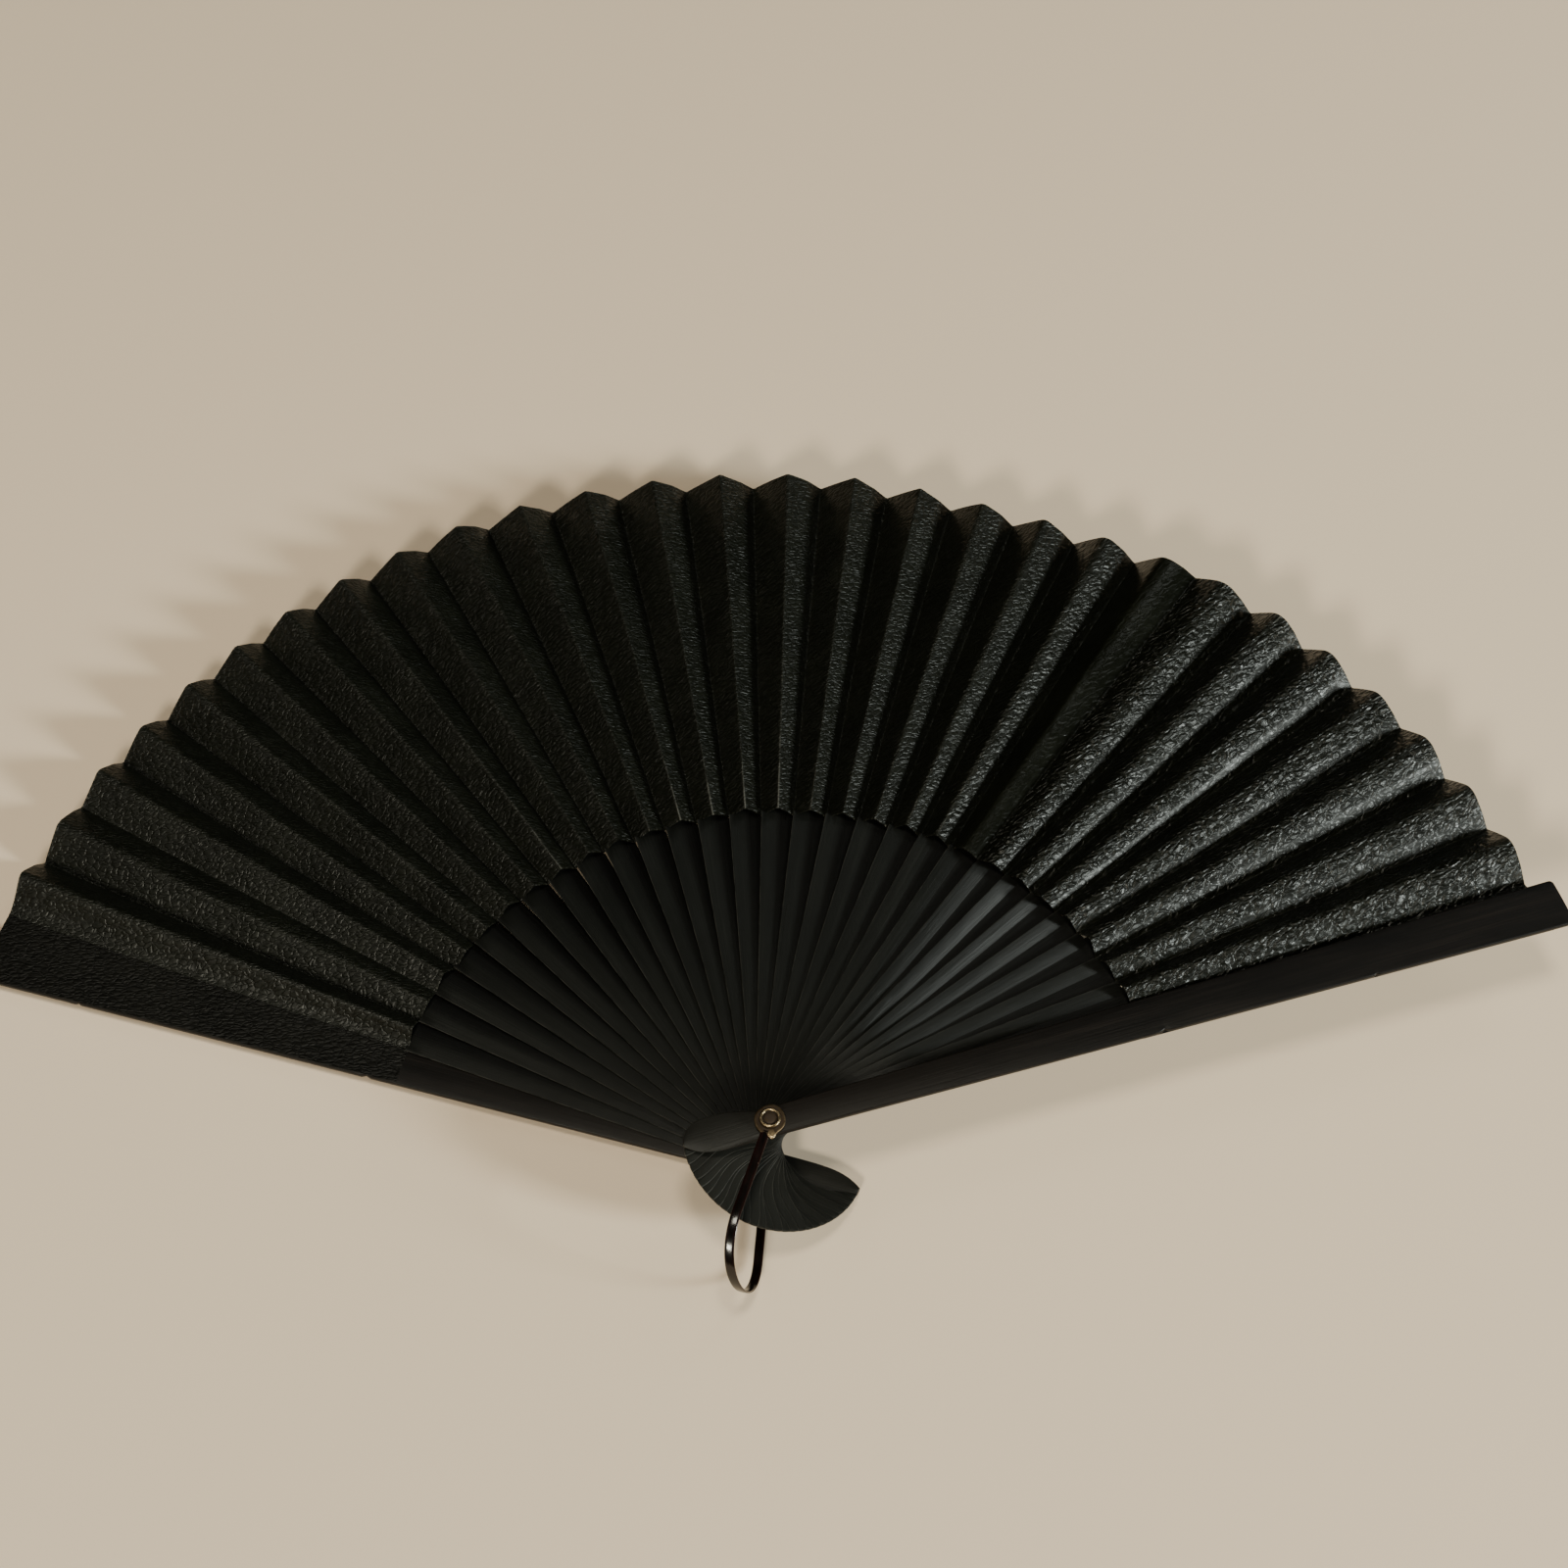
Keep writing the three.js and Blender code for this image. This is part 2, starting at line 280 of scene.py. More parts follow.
@dataclass(frozen=True)
class StainedWood(Finish):
    """Dark stained bamboo or wood with fine lengthwise fibres, pale edges that are partly worn and partly a
    painted highlight, and a painted shade where the next stick covers it.

    The mark "grain" is a place along and across the stick and its number, and "edge" is the distance
    from its edge. A span is where something starts and where it is complete.
    """

    dark: Colour
    light: Colour
    worn: Colour
    handled: Colour
    tail: Colour
    head_colour_reach: float
    next_stick_shade: float
    roughness: float
    gloss: float
    fibres_per_mm: float
    fibre_depth: float
    wear_and_highlight_reach: float
    wear_and_highlight: float
    bevel: float = 0.0
    end_bevel: float = 0.0
    # Painted shade under the next stick: how dark it is, and where it starts across and along the stick.
    next_stick_shade_dark: float = 0.08
    next_stick_shade_across: Span = (1.5, -1.2)
    next_stick_shade_along: Span = (20.0, 60.0)
    wear_and_highlight_along: Span = (0.0, 12.0)
    tail_along: Span = (2.0, -6.0)
    bevel_start: float = 0.2
    bevel_along: Span = (12.0, 40.0)
    bevel_ribs: Span = (5.0, 13.0)
    end_ribs: Span = (20.0, 23.0)

    def paint(self, bench: Bench) -> None:
        """Fibres run along the stick, and a painted shade darkens it where the next stick covers it.

        Args:
            bench: adds the nodes.
        """
        grain = bench.mark("grain")
        along, across = bench.part(grain, "X"), bench.part(grain, "Y")
        number = bench.part(grain, "Z") / RIB_MARK
        fibre = bench.noise(grain, (0.02, self.fibres_per_mm), 4.0, 0.7)
        cloud = bench.noise(grain, (0.03, 0.25), 2.0)
        chips = bench.noise(grain, (0.16, 0.5), 5.0, 0.75)
        # Pale edges: partly wear, partly a painted highlight along the lit edges of the ribs and the lines of
        # their tails.
        wear_and_highlight_edge = bench.mark("edge", "Fac").step(self.wear_and_highlight_reach, 0.0) * chips.step(0.36, 0.6) * self.wear_and_highlight
        rubbed = wear_and_highlight_edge * (0.7 + 0.3 * along.step(*self.wear_and_highlight_along))
        # Painted shade: the side of the stick under the next stick is darkened almost to black, and made
        # rougher.
        painted_shade = across.step(*self.next_stick_shade_across) * along.step(*self.next_stick_shade_along) * self.next_stick_shade
        stain = bench.blend(fibre.step(0.35, 0.75) * cloud.step(0.3, 0.7), self.dark, self.light)
        stain = bench.blend(painted_shade, stain, tuple(self.next_stick_shade_dark * part for part in self.dark))
        # Towards the head the colour turns to the handled colour; on the guards this lighter brown is partly
        # handling wear and partly a painted sheen.
        shaft = bench.blend(along.step(self.head_colour_reach, 0.0) * 0.7, stain, self.handled)
        colour = bench.blend(along.step(*self.tail_along) * 0.8, shaft, self.tail)
        slope = self.bevel * number.step(*self.bevel_ribs) + self.end_bevel * number.step(*self.end_ribs)
        raised = bench.maths("MAXIMUM", across - self.bevel_start, 0.0) * slope
        raised = raised * along.step(*self.bevel_along)
        sheen = self.roughness + 0.22 * (fibre - 0.5) + 0.12 * (cloud - 0.5)
        bench.surface({
            "Base Color": bench.blend(rubbed, colour, self.worn),
            "Roughness": sheen + 0.1 * rubbed + 0.15 * painted_shade,
            "Specular IOR Level": self.gloss,
            "Normal": bench.bump(raised + self.fibre_depth * (fibre + 0.4 * chips), 1.0),
        })


@dataclass(frozen=True)
class EmbossedPaper(Finish):
    """Black paper embossed like fine leather, rubbed pale along its ridges.

    Marks: "grain" is a place on the flat sheet, along and across the emboss; "fold" is the radius, the
    signed distance from the ridge and the ridge's number; "rub" is the distance from the ridge, how much
    that ridge is rubbed, and the distance from the sheet's cut edge.
    """

    dark: Colour
    light: Colour
    worn: Colour
    fibre: Colour
    roughness: float
    emboss_depth: float
    gloss: float = 0.32
    pebble: Span = (0.52, 1.0)
    fold_scale: Span = (0.6, 0.66)
    rub_width: float = 0.36
    handled_ridges: Span = (17.0, 23.0)
    plain_ridge: int = 21

    def paint(self, bench: Bench) -> None:
        """Pebbles over the sheet, softer folds where it is handled, broken rubbed lines on the ridges.

        Args:
            bench: adds the nodes.
        """
        grain, fold, rub = (bench.mark(label) for label in ("grain", "fold", "rub"))
        wander = {"Vector": bench.stretch(grain, (0.45, 0.6, 1)), "Scale": 1.0, "Detail": 1.0}
        warp = bench.add("ShaderNodeTexNoise", None, wander, "Color")
        shift = {0: grain, 1: bench.stretch(warp, (2.0, 1.4, 0))}
        wavy = bench.add("ShaderNodeVectorMath", {"operation": "ADD"}, shift)
        small = bench.stretch(wavy, (*self.pebble, 1.0))
        large = bench.stretch(small, (*self.fold_scale, 1.0))
        domes = bench.cells("F1", small).step(0.8, 0.1)
        pebbles = bench.cells("DISTANCE_TO_EDGE", small).step(0.0, 0.17)
        folds = bench.cells("DISTANCE_TO_EDGE", large).step(0.0, 0.32)
        creases = bench.noise(wavy, (0.5, 1.4), 2.0, 0.5)
        wrinkles = bench.noise(wavy, (0.36, 1.05), 3.0, 0.6).step(0.34, 0.66)
        ridge = bench.part(fold, "Z")
        handled = ridge.step(*(RIDGE_MARK * number for number in self.handled_ridges))
        plain = bench.maths("ABSOLUTE", ridge - RIDGE_MARK * self.plain_ridge).step(5.0, 1.0)
        pressed = (1.0 - handled) * (pebbles * 0.55 + domes * 0.45)
        relief = pressed + handled * (folds * 2.3 + wrinkles * 0.8) + creases * 0.5
        cloud = bench.noise(grain, (0.06, 0.09), 3.0)
        chips = bench.noise(fold, (0.22, 1.6), 4.0, 0.75)
        reach, strength = bench.part(rub, "X"), bench.part(rub, "Y")
        line = reach.step(self.rub_width, 0.1 * self.rub_width)
        rubbed = line * (strength + 1.5 * (chips - 0.5)).step(0.42, 0.95)
        halo = reach.step(4.0 * self.rub_width, 0.0) * strength * 0.05
        torn = bench.part(rub, "Z").step(0.7, 0.1) * chips.step(0.5, 0.68)
        sheet = bench.blend(cloud.step(0.3, 0.75) * pebbles, self.dark, self.light)
        paper = bench.blend(halo + rubbed, sheet, self.worn)
        sheen = self.roughness + 0.14 * (cloud - 0.5)
        bench.surface({
            "Base Color": bench.blend(torn * 0.4, paper, self.fibre),
            "Roughness": sheen + 0.25 * rubbed - 0.08 * handled - 0.06 * plain,
            "Specular IOR Level": self.gloss,
            "Coat Weight": 0.12 * handled * (1.0 - plain),
            "Coat Roughness": 0.32,
            "Normal": bench.bump(relief * (1.0 - 0.8 * plain), self.emboss_depth),
        })


@dataclass(frozen=True)
class AgedBrass(Finish):
    """Brass gone dull, brown in the hollows and bright where it is handled."""

    bright: Colour
    dull: Colour
    grime: Colour

    def paint(self, bench: Bench) -> None:
        """The mark "proud" is 1 on raised, handled metal and 0 in a hollow.

        Args:
            bench: adds the nodes.
        """
        grain = bench.mark("grain")
        proud = bench.mark("proud", "Fac")
        spots = bench.noise(grain, (1.1, 1.1), 5.0, 0.7)
        scratch = bench.noise(grain, (0.6, 9.0), 3.0, 0.6)
        handled = (proud + 0.7 * (spots - 0.5)).step(0.35, 0.85)
        metal = bench.blend(handled, self.dull, self.bright)
        dirt = (1.0 - proud).step(0.45, 0.95) * spots.step(0.3, 0.6)
        bench.surface({
            "Base Color": bench.blend(dirt, metal, self.grime),
            "Metallic": 1.0 - 0.75 * dirt,
            "Roughness": 0.5 - 0.22 * handled + 0.2 * (scratch - 0.5) + 0.2 * dirt,
            "Normal": bench.bump(scratch + spots, 0.03),
        })


@dataclass(frozen=True)
class Lacquer(Finish):
    """Dark red-brown lacquer over a metal strip, glossy, thin on the edges."""

    deep: Colour
    thin: Colour
    worn: Colour
    roughness: float

    def paint(self, bench: Bench) -> None:
        """The lacquer pools dark on the faces and shows redder on the edges.

        Args:
            bench: adds the nodes.
        """
        grain = bench.mark("grain")
        edge = bench.mark("edge", "Fac").step(0.8, 0.0)
        flow = bench.noise(grain, (0.25, 0.9), 3.0)
        specks = bench.noise(grain, (1.5, 1.5), 4.0, 0.7)
        coat = bench.blend(edge * 0.7 + 0.5 * flow.step(0.4, 0.75), self.deep, self.thin)
        chipped = edge * specks.step(0.66, 0.74)
        bench.surface({
            "Base Color": bench.blend(chipped * 0.6, coat, self.worn),
            "Roughness": self.roughness + 0.12 * (flow - 0.5) + 0.25 * chipped,
            "Coat Weight": 0.35 - 0.3 * chipped,
            "Coat Roughness": 0.1,
            "Specular IOR Level": 0.3,
            "Normal": bench.bump(flow, 0.05),
        })


@dataclass(frozen=True)
class PaleFloor(Finish):
    """Plain pale matt floor."""

    colour: Colour

    def paint(self, bench: Bench) -> None:
        """One plain colour."""
        bench.surface({"Base Color": self.colour, "Roughness": 0.92, "Specular IOR Level": 0.2})


RIB_FINISH = StainedWood(
    "black_bamboo", dark=(0.0046, 0.0049, 0.0041), light=(0.0105, 0.0109, 0.0094),
    worn=(0.070, 0.067, 0.057), handled=(0.0066, 0.0069, 0.0060), tail=(0.0115, 0.0118, 0.0100),
    head_colour_reach=60.0, next_stick_shade=0.9, roughness=0.40, gloss=0.16, fibres_per_mm=3.2, fibre_depth=0.09,
    wear_and_highlight_reach=0.22, wear_and_highlight=0.5, bevel=0.22, end_bevel=0.4,
)
GUARD_FINISH = StainedWood(
    "dark_guard_wood", dark=(0.0026, 0.0022, 0.0020), light=(0.0120, 0.0090, 0.0073),
    worn=(0.034, 0.023, 0.016), handled=(0.0105, 0.0082, 0.0064), tail=(0.0125, 0.0123, 0.0105),
    head_colour_reach=100.0, next_stick_shade=0.0, roughness=0.40, gloss=0.2, fibres_per_mm=2.4, fibre_depth=0.06,
    wear_and_highlight_reach=0.9, wear_and_highlight=0.02,
)
LEAF_FINISH = EmbossedPaper(
    "embossed_black_paper", dark=(0.0019, 0.0023, 0.0006), light=(0.0043, 0.0050, 0.0019),
    worn=(0.072, 0.071, 0.062), fibre=(0.20, 0.19, 0.16), roughness=0.42, emboss_depth=0.125,
)
FLAP_FINISH = replace(
    LEAF_FINISH, name="pressed_black_paper", dark=(0.0016, 0.0015, 0.0009), light=(0.0038, 0.0035, 0.0022),
    roughness=0.46, emboss_depth=0.12, gloss=0.22,
)
BRASS_FINISH = AgedBrass(
    "aged_brass", bright=(0.29, 0.22, 0.13), dull=(0.065, 0.043, 0.024), grime=(0.020, 0.012, 0.009),
)
STRIP_FINISH = Lacquer(
    "red_brown_lacquer", deep=(0.0022, 0.0014, 0.0012), thin=(0.0110, 0.0032, 0.0026),
    worn=(0.20, 0.13, 0.10), roughness=0.2,
)
FLOOR_FINISH = PaleFloor("pale_floor", (0.86, 0.69, 0.52))


@dataclass
class Shell:
    """A closed mesh in the making.

    Attributes:
        points: corner points in millimetres.
        faces: corner numbers of each face.
        marks: values on the points that the finish reads.
    """

    points: np.ndarray
    faces: Faces
    marks: Marks

    def turned_out(self) -> Faces:
        """Turns the faces outwards if they all face in.

        Returns:
            The faces.
        """
        volume = 0.0
        for face in self.faces:
            corners = self.points[face]
            volume += corners[0] @ np.cross(corners[1:-1], corners[2:]).sum(axis=0)
        return self.faces if volume > 0 else [face[::-1] for face in self.faces]

    def piece(
        self, name: str, finish: Finish, slot: Slot, body: str, crease_deg: float = 38.0
    ) -> Piece:
        """Makes the object and sets it riding.

        Args:
            name: the piece's name.
            finish: its finish.
            slot: the record's material slot; not used.
            body: the body it moves with.
            crease_deg: edges that turn more than this stay sharp.

        Returns:
            The object, linked to the scene.
        """
        mesh = bpy.data.meshes.new(name)
        mesh.from_pydata((self.points * MM).tolist(), [], self.turned_out())
        for label, values in self.marks.items():
            is_number = values.ndim == 1
            mark = mesh.attributes.new(label, "FLOAT" if is_number else "FLOAT_VECTOR", "POINT")
            mark.data.foreach_set("value" if is_number else "vector", values.astype(np.float32).ravel())
        mesh.shade_smooth()
        mesh.set_sharp_from_angle(angle=math.radians(crease_deg))
        mesh.materials.append(finish.material())
        piece = linked(name, mesh)
        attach(piece, body)
        return piece


def linked(name: str, data: bpy.types.ID) -> Piece:
    """Makes an object in the scene.

    Args:
        name: its name.
        data: its mesh, camera or lamp.

    Returns:
        The object.
    """
    made = bpy.data.objects.new(name, data)
    bpy.context.scene.collection.objects.link(made)
    return made


def loft(rings: np.ndarray, marks: Marks) -> Shell:
    """A closed body through rings of points.

    Args:
        rings: rings of points, shaped (rings, points, 3).
        marks: values for each ring and point.

    Returns:
        The body, with a face over each end.
    """
    count, size = rings.shape[:2]
    numbers = np.arange(count * size).reshape(count, size)
    ahead = np.roll(numbers, -1, axis=1)
    walls = stacked(numbers[:-1], ahead[:-1], ahead[1:], numbers[1:]).reshape(-1, 4)
    faces = [*walls.tolist(), numbers[0, ::-1].tolist(), numbers[-1].tolist()]
    flat = {label: values.reshape(count * size, *values.shape[2:]) for label, values in marks.items()}
    return Shell(rings.reshape(-1, 3), faces, flat)


def sheet(middle: np.ndarray, half: float, marks: Marks) -> Shell:
    """A thin closed sheet over a grid of points.

    Args:
        middle: points of the sheet's middle, shaped (rows, columns, 3).
        half: half of the sheet's height along Z.
        marks: values for each row and column.

    Returns:
        The sheet, with its four edges closed.
    """
    rows, columns = middle.shape[:2]
    under = rows * columns
    lift = np.array([0.0, 0.0, half])
    points = np.concatenate([(middle + lift).reshape(-1, 3), (middle - lift).reshape(-1, 3)])
    n = np.arange(under).reshape(rows, columns)
    top = stacked(n[:-1, :-1], n[:-1, 1:], n[1:, 1:], n[1:, :-1]).reshape(-1, 4)
    rim = np.concatenate([n[0], n[1:, -1], n[-1, -2::-1], n[-2:0:-1, 0]])
    ahead = np.roll(rim, -1)
    walls = stacked(ahead, rim, under + rim, under + ahead)
    faces = np.concatenate([top, under + top[:, ::-1], walls]).tolist()
    once = {label: values.reshape(under, *values.shape[2:]) for label, values in marks.items()}
    return Shell(points, faces, {label: np.concatenate([values, values]) for label, values in once.items()})


def node_points(node: str) -> np.ndarray:
    """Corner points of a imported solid, in millimetres."""
    return np.array([corner.co for corner in frame["nodes"][node].data.vertices], float) / MM


def numbered(stem: str, number: int) -> str:
    """The name of one of several like pieces."""
    return f"{stem}_{number:02d}"


def stacked(*parts: Values) -> np.ndarray:
    """Vectors from their parts, which are spread to one shape."""
    return np.stack(np.broadcast_arrays(*parts), axis=-1)


def polar(radius: Values, turn: Values, height: Values) -> np.ndarray:
    """Points at these radii, angles and heights about the rivet."""
    return stacked(radius * np.cos(turn), radius * np.sin(turn), height)


def bell(place: Values, centre: float, width: float) -> Values:
    """A bell curve, 1 at its centre."""
    return np.exp(-(((place - centre) / width) ** 2))


@dataclass(frozen=True)
class FanLayout:
    """Where the sticks and the leaf lie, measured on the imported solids."""

    rib_count: int
    pitch: float
    leaf_inner: float
    leaf_outer: float
    ridge_rise: float
    ridge_base: float

    @classmethod
    def measured(cls) -> "FanLayout":
        """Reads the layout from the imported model.

        Returns:
            The layout.
        """
        count = sum(name.startswith("rib_") for name in frame["nodes"])
        fold = next(joint for joint in frame["joints"] if joint["name"] == "fold")
        middle = count // 2
        points = node_points(numbered("leaf", middle))
        radii = np.hypot(points[:, 0], points[:, 1])
        inner, outer = float(radii.min()), float(radii.max())
        is_outer = radii > (inner + outer) / 2
        top_outer, top_inner = points[is_outer, 2].max(), points[~is_outer, 2].max()
        rise = float(top_outer - top_inner) / (outer - inner)
        base = float(top_outer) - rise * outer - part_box(numbered("rib", middle))[0].z / MM
        return cls(count, math.radians(fold["range_deg"][1]) / (count + 1), inner, outer, rise, base)

    def stick_angle(self, place: float) -> float:
        """Angle of stick number `place`: 0 is the rear guard; halves lie between two sticks."""
        return math.pi / 2 + ((self.rib_count + 1) / 2 - place) * self.pitch

    def layer(self, node: str) -> Span:
        """Heights of a solid's under side and top."""
        low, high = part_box(node)
        return low.z / MM, high.z / MM

    def rib_z(self, number: int) -> float:
        """Height of a rib's under side."""
        return self.layer(numbered("rib", number))[0]


class Station(NamedTuple):
    """One cross-section of a stick.

    Attributes:
        x: place along the stick.
        half: half of its width there.
        middle: where the middle of that width lies, to the left of the stick's line.
        inset: how far the section is drawn in all round.
        tilt: how much the left side is raised for each millimetre across.
        dome: how much lower its edges are than on the rest of the stick.
        thin: how much lower its top is.
    """

    x: float
    half: float
    middle: float = 0.0
    inset: float = 0.0
    tilt: float = 0.0
    dome: float = 0.0
    thin: float = 0.0


@dataclass
class StickOutline:
    """Outline of a stick in its own axes, +X from the rivet to the tip, measured on its solid."""

    node: str
    angle: float
    neck_share: float = 0.1
    bend_share: float = 0.62
    tail_steps: int = 30
    neck: float = field(init=False)
    tail_length: float = field(init=False)
    tail_flare: float = field(init=False)
    neck_half: float = field(init=False)
    length: float = field(init=False)
    thickness: float = field(init=False)
    along: np.ndarray = field(init=False, repr=False)
    across: np.ndarray = field(init=False, repr=False)

    def __post_init__(self) -> None:
        """Turns the solid's points into the stick's axes and measures them."""
        points = node_points(self.node)
        cos, sin = math.cos(self.angle), math.sin(self.angle)
        self.along = points[:, 0] * cos + points[:, 1] * sin
        self.across = points[:, 1] * cos - points[:, 0] * sin
        self.tail_length = -float(self.along.min())
        self.neck = -self.neck_share * self.tail_length
        self.tail_flare = float(self.across[self.along < self.neck].max())
        self.neck_half = self.half_between(self.neck - NEAR, self.neck + NEAR)
        self.length = float(self.along.max())
        self.thickness = float(np.ptp(points[:, 2]))

    def half_between(self, start: float, end: float) -> float:
        """Largest half width between two places along the stick."""
        chosen = (self.along >= start) & (self.along <= end)
        return float(np.abs(self.across[chosen]).max())

    def tail(
        self, length_share: float, waist: float = 0.0, dome: float = 0.0, thin: float = 0.0
    ) -> list[Station]:
        """Stations of the tail, from its end to the neck; its left side flares and its right side tapers.

        Args:
            length_share: how much of the solid's tail length this stick has.
            waist: how deep its right side is hollowed.
            dome: how much its edges are rounded down.
            thin: how much lower its top is than the stick's.

        Returns:
            The stations.
        """
        made = []
        for k in range(self.tail_steps + 1):
            # The first station lies just short of the end, where the outline closes.
            turn = 0.4999 * math.pi * (k + 0.02) / self.tail_steps
            past = math.cos(turn)
            share = self.neck_share + (1 - self.neck_share) * past
            swell = min(1.0, (share - self.neck_share) / (self.bend_share - self.neck_share))
            end = max(0.0, (share - self.bend_share) / (1 - self.bend_share))
            flare = self.neck_half + (self.tail_flare - self.neck_half) * swell * (2 - swell)
            left = flare * math.sqrt(1 - end**2.5)
            right = self.neck_half * (1 - past**5) - waist * math.sin(math.pi * past)
            x = -share * self.tail_length * (1 - (1 - length_share) * swell)
            half, middle = (left + right) / 2, (left - right) / 2
            made.append(Station(x, half, middle, dome=dome * swell, thin=thin * swell))
        return made


@dataclass
class StickSection:
    """Cross-section of a stick: rounded edges and a slightly crowned top."""

    thickness: float
    edge_radius: float
    crown: float
    crown_half: float = 3.0
    least_half: float = 0.02
    corner_steps: int = 4
    face_shares: tuple[float, ...] = (0.75, 0.4, 0.0, -0.4, -0.75)

    def ring(self, station: Station) -> np.ndarray:
        """Points of the section, as (across, height).

        Args:
            station: where and how wide the section is.

        Returns:
            The points in order round the section.
        """
        half = max(self.least_half, station.half - station.inset)
        low, high = station.inset, self.thickness - station.inset - station.thin
        edge_top = high - (self.crown + station.dome) * min(1.0, half / self.crown_half)
        round_ = min(self.edge_radius, 0.9 * half, 0.45 * (edge_top - low))
        turns = [math.pi / 2 * k / self.corner_steps for k in range(self.corner_steps + 1)]
        flat = half - round_
        upper_left = [(flat + round_ * math.cos(t), edge_top - round_ + round_ * math.sin(t)) for t in turns]
        top = [(flat * s, edge_top + (high - edge_top) * (1 - s * s)) for s in self.face_shares]
        upper_right = [(-y, z) for y, z in reversed(upper_left)]
        lower_right = [(-flat - round_ * math.cos(t), low + round_ - round_ * math.sin(t)) for t in turns]
        bottom = [(-flat * s, low) for s in self.face_shares]
        lower_left = [(-y, z) for y, z in reversed(lower_right)]
        return np.array(upper_left + top + upper_right + lower_right + bottom + lower_left)

    def stick(self, stations: Sequence[Station], angle: float, z: float, seed: float) -> Shell:
        """A stick through its stations, laid at its angle and height.

        Args:
            stations: its cross-sections, from the tail's end to the tip.
            angle: the stick's angle about the rivet.
            z: height of its under side.
            seed: shifts the grain, so that no two sticks look alike.

        Returns:
            The stick, with its grain and edge marks.
        """
        rings, grains, edges = [], [], []
        cos, sin = math.cos(angle), math.sin(angle)
        for station in stations:
            off, height = self.ring(station).T
            x, across = station.x, off + station.middle
            height = height + z + station.tilt * across
            rings.append(stacked(x * cos - across * sin, x * sin + across * cos, height))
            grains.append(stacked(x, across, seed))
            edges.append(np.maximum(0.0, station.half - np.abs(off)))
        return loft(np.array(rings), {"grain": np.array(grains), "edge": np.array(edges)})


@dataclass
class Leaf:
    """The pleated sheet: one facet falls from each ridge to a valley, and one rises to the next ridge.

    Tables and bells go by ridge number. Spread waves are size in degrees, start and period; edge waves are
    centre, width and size.
    """

    layout: FanLayout
    paper: float = 0.3
    ridge_shares: Table = ((1, 0.16), (8, 0.1), (12, 0.05), (17, 0.06), (22, 0.34), (28, 0.3))
    valley_share: float = 0.035
    first_valley_share: float = 0.55
    strip_share: float = 0.6
    strip_bend: float = 0.45
    strip_soft: float = 0.08
    fall_bulge: float = 0.1
    rise_bulge: float = 0.2
    first_bulge: float = 0.6
    cockle: float = 0.16
    ripple_lengths: Span = (13.0, 5.7)
    inner_reach: float = 0.6
    ragged_edge: float = 0.5
    emboss_deg: float = 22.0
    flap_margin: float = 0.15
    flap_half: float = 0.05
    flap_steps: int = 9
    seat_gap: float = 0.06
    front_fold: float = 0.86
    closed_lift: float = 0.1
    folded_share: float = 0.07
    sway_start: float = 0.3
    spread_waves: Waves = ((0.58, 4.9, 16.5), (0.42, 5.7, 25.8))
    edge_waves: Waves = ((18.5, 2.0, -2.6), (10.5, 1.3, 1.0), (22.5, 1.3, 1.2))
    ridge_lift: float = 0.15
    valley_lift: float = 0.3
    high_ridges: Table = ((1, 0.55), (3, 0.3), (28, -0.02))
    slack_valleys: Table = ((1, 0.0), (2, 0.6), (4, 0.0), (21, 1.2), (25, 0.6))
    rubbed_middle: Span = (13.5, 2.2)
    rubbed_right: Span = (23.5, 2.5)
    rub_fades: Span = (17.0, 3.5)
    rows: int = 56
    seed: int = 11
    rubs: np.ndarray = field(init=False, repr=False)
    ragged: np.ndarray = field(init=False, repr=False)
    lifts: np.ndarray = field(init=False, repr=False)

    def __post_init__(self) -> None:
        """Draws how each ridge is rubbed, how ragged the inner edge is and how far each fold has opened."""
        draw = np.random.default_rng(self.seed)
        number = np.arange(self.layout.rib_count + 2)
        # Rubbed all along, more at the inner end of the middle ridges and at the tips on the right.
        along = draw.uniform(0.05, 0.42, len(number))
        inner = draw.uniform(0.0, 0.35, len(number)) + 0.7 * bell(number, *self.rubbed_middle)
        self.rubs = stacked(along, inner, 0.1 + 0.8 * bell(number, *self.rubbed_right))
        self.ragged = draw.uniform(-self.ragged_edge, self.ragged_edge, 2 * len(number) + 2)
        self.lifts = draw.uniform(0, 1, (2, len(number))) * [[self.ridge_lift], [self.valley_lift]]
        for row, folds in enumerate((self.high_ridges, self.slack_valleys)):
            for place, lift in folds:
                self.lifts[row, place] = lift

    @property
    def half_height(self) -> float:
        """Half of the paper's height along Z on a sloping facet."""
        slope = 2 * self.layout.ridge_rise / (self.layout.pitch / 2)
        return self.paper / 2 * math.hypot(1, slope)

    def drift(self, place: float) -> float:
        """Angle by which the sheet's outer edge strays from even spacing near stick `place`."""
        turns = ((size, 2 * math.pi * (place - start) / period) for size, start, period in self.spread_waves)
        return math.radians(sum(size * math.sin(turn) for size, turn in turns))

    def sway(self, place: float, share: Values) -> Values:
        """Angle by which a fold near stick `place` strays, from the inner edge (share 0) to the outer (1)."""
        return self.drift(place) * (self.sway_start + (1 - self.sway_start) * share)

    def turn(self, place: float, share: np.ndarray) -> np.ndarray:
        """Angle along a fold near stick `place`."""
        return self.layout.stick_angle(place) + self.sway(place, share)

    def radius(self, place: float, share: np.ndarray) -> np.ndarray:
        """Radius along a fold.

        Args:
            place: the stick it lies near.
            share: places along it, from the inner edge, 0, to the outer edge, 1.

        Returns:
            The radius at each place.
        """
        swells = (size * bell(place, centre, width) for centre, width, size in self.edge_waves)
        outer = self.layout.leaf_outer + sum(swells)
        inner = self.layout.leaf_inner - self.inner_reach - self.ragged[round(2 * place)]
        return inner + (outer - inner) * share

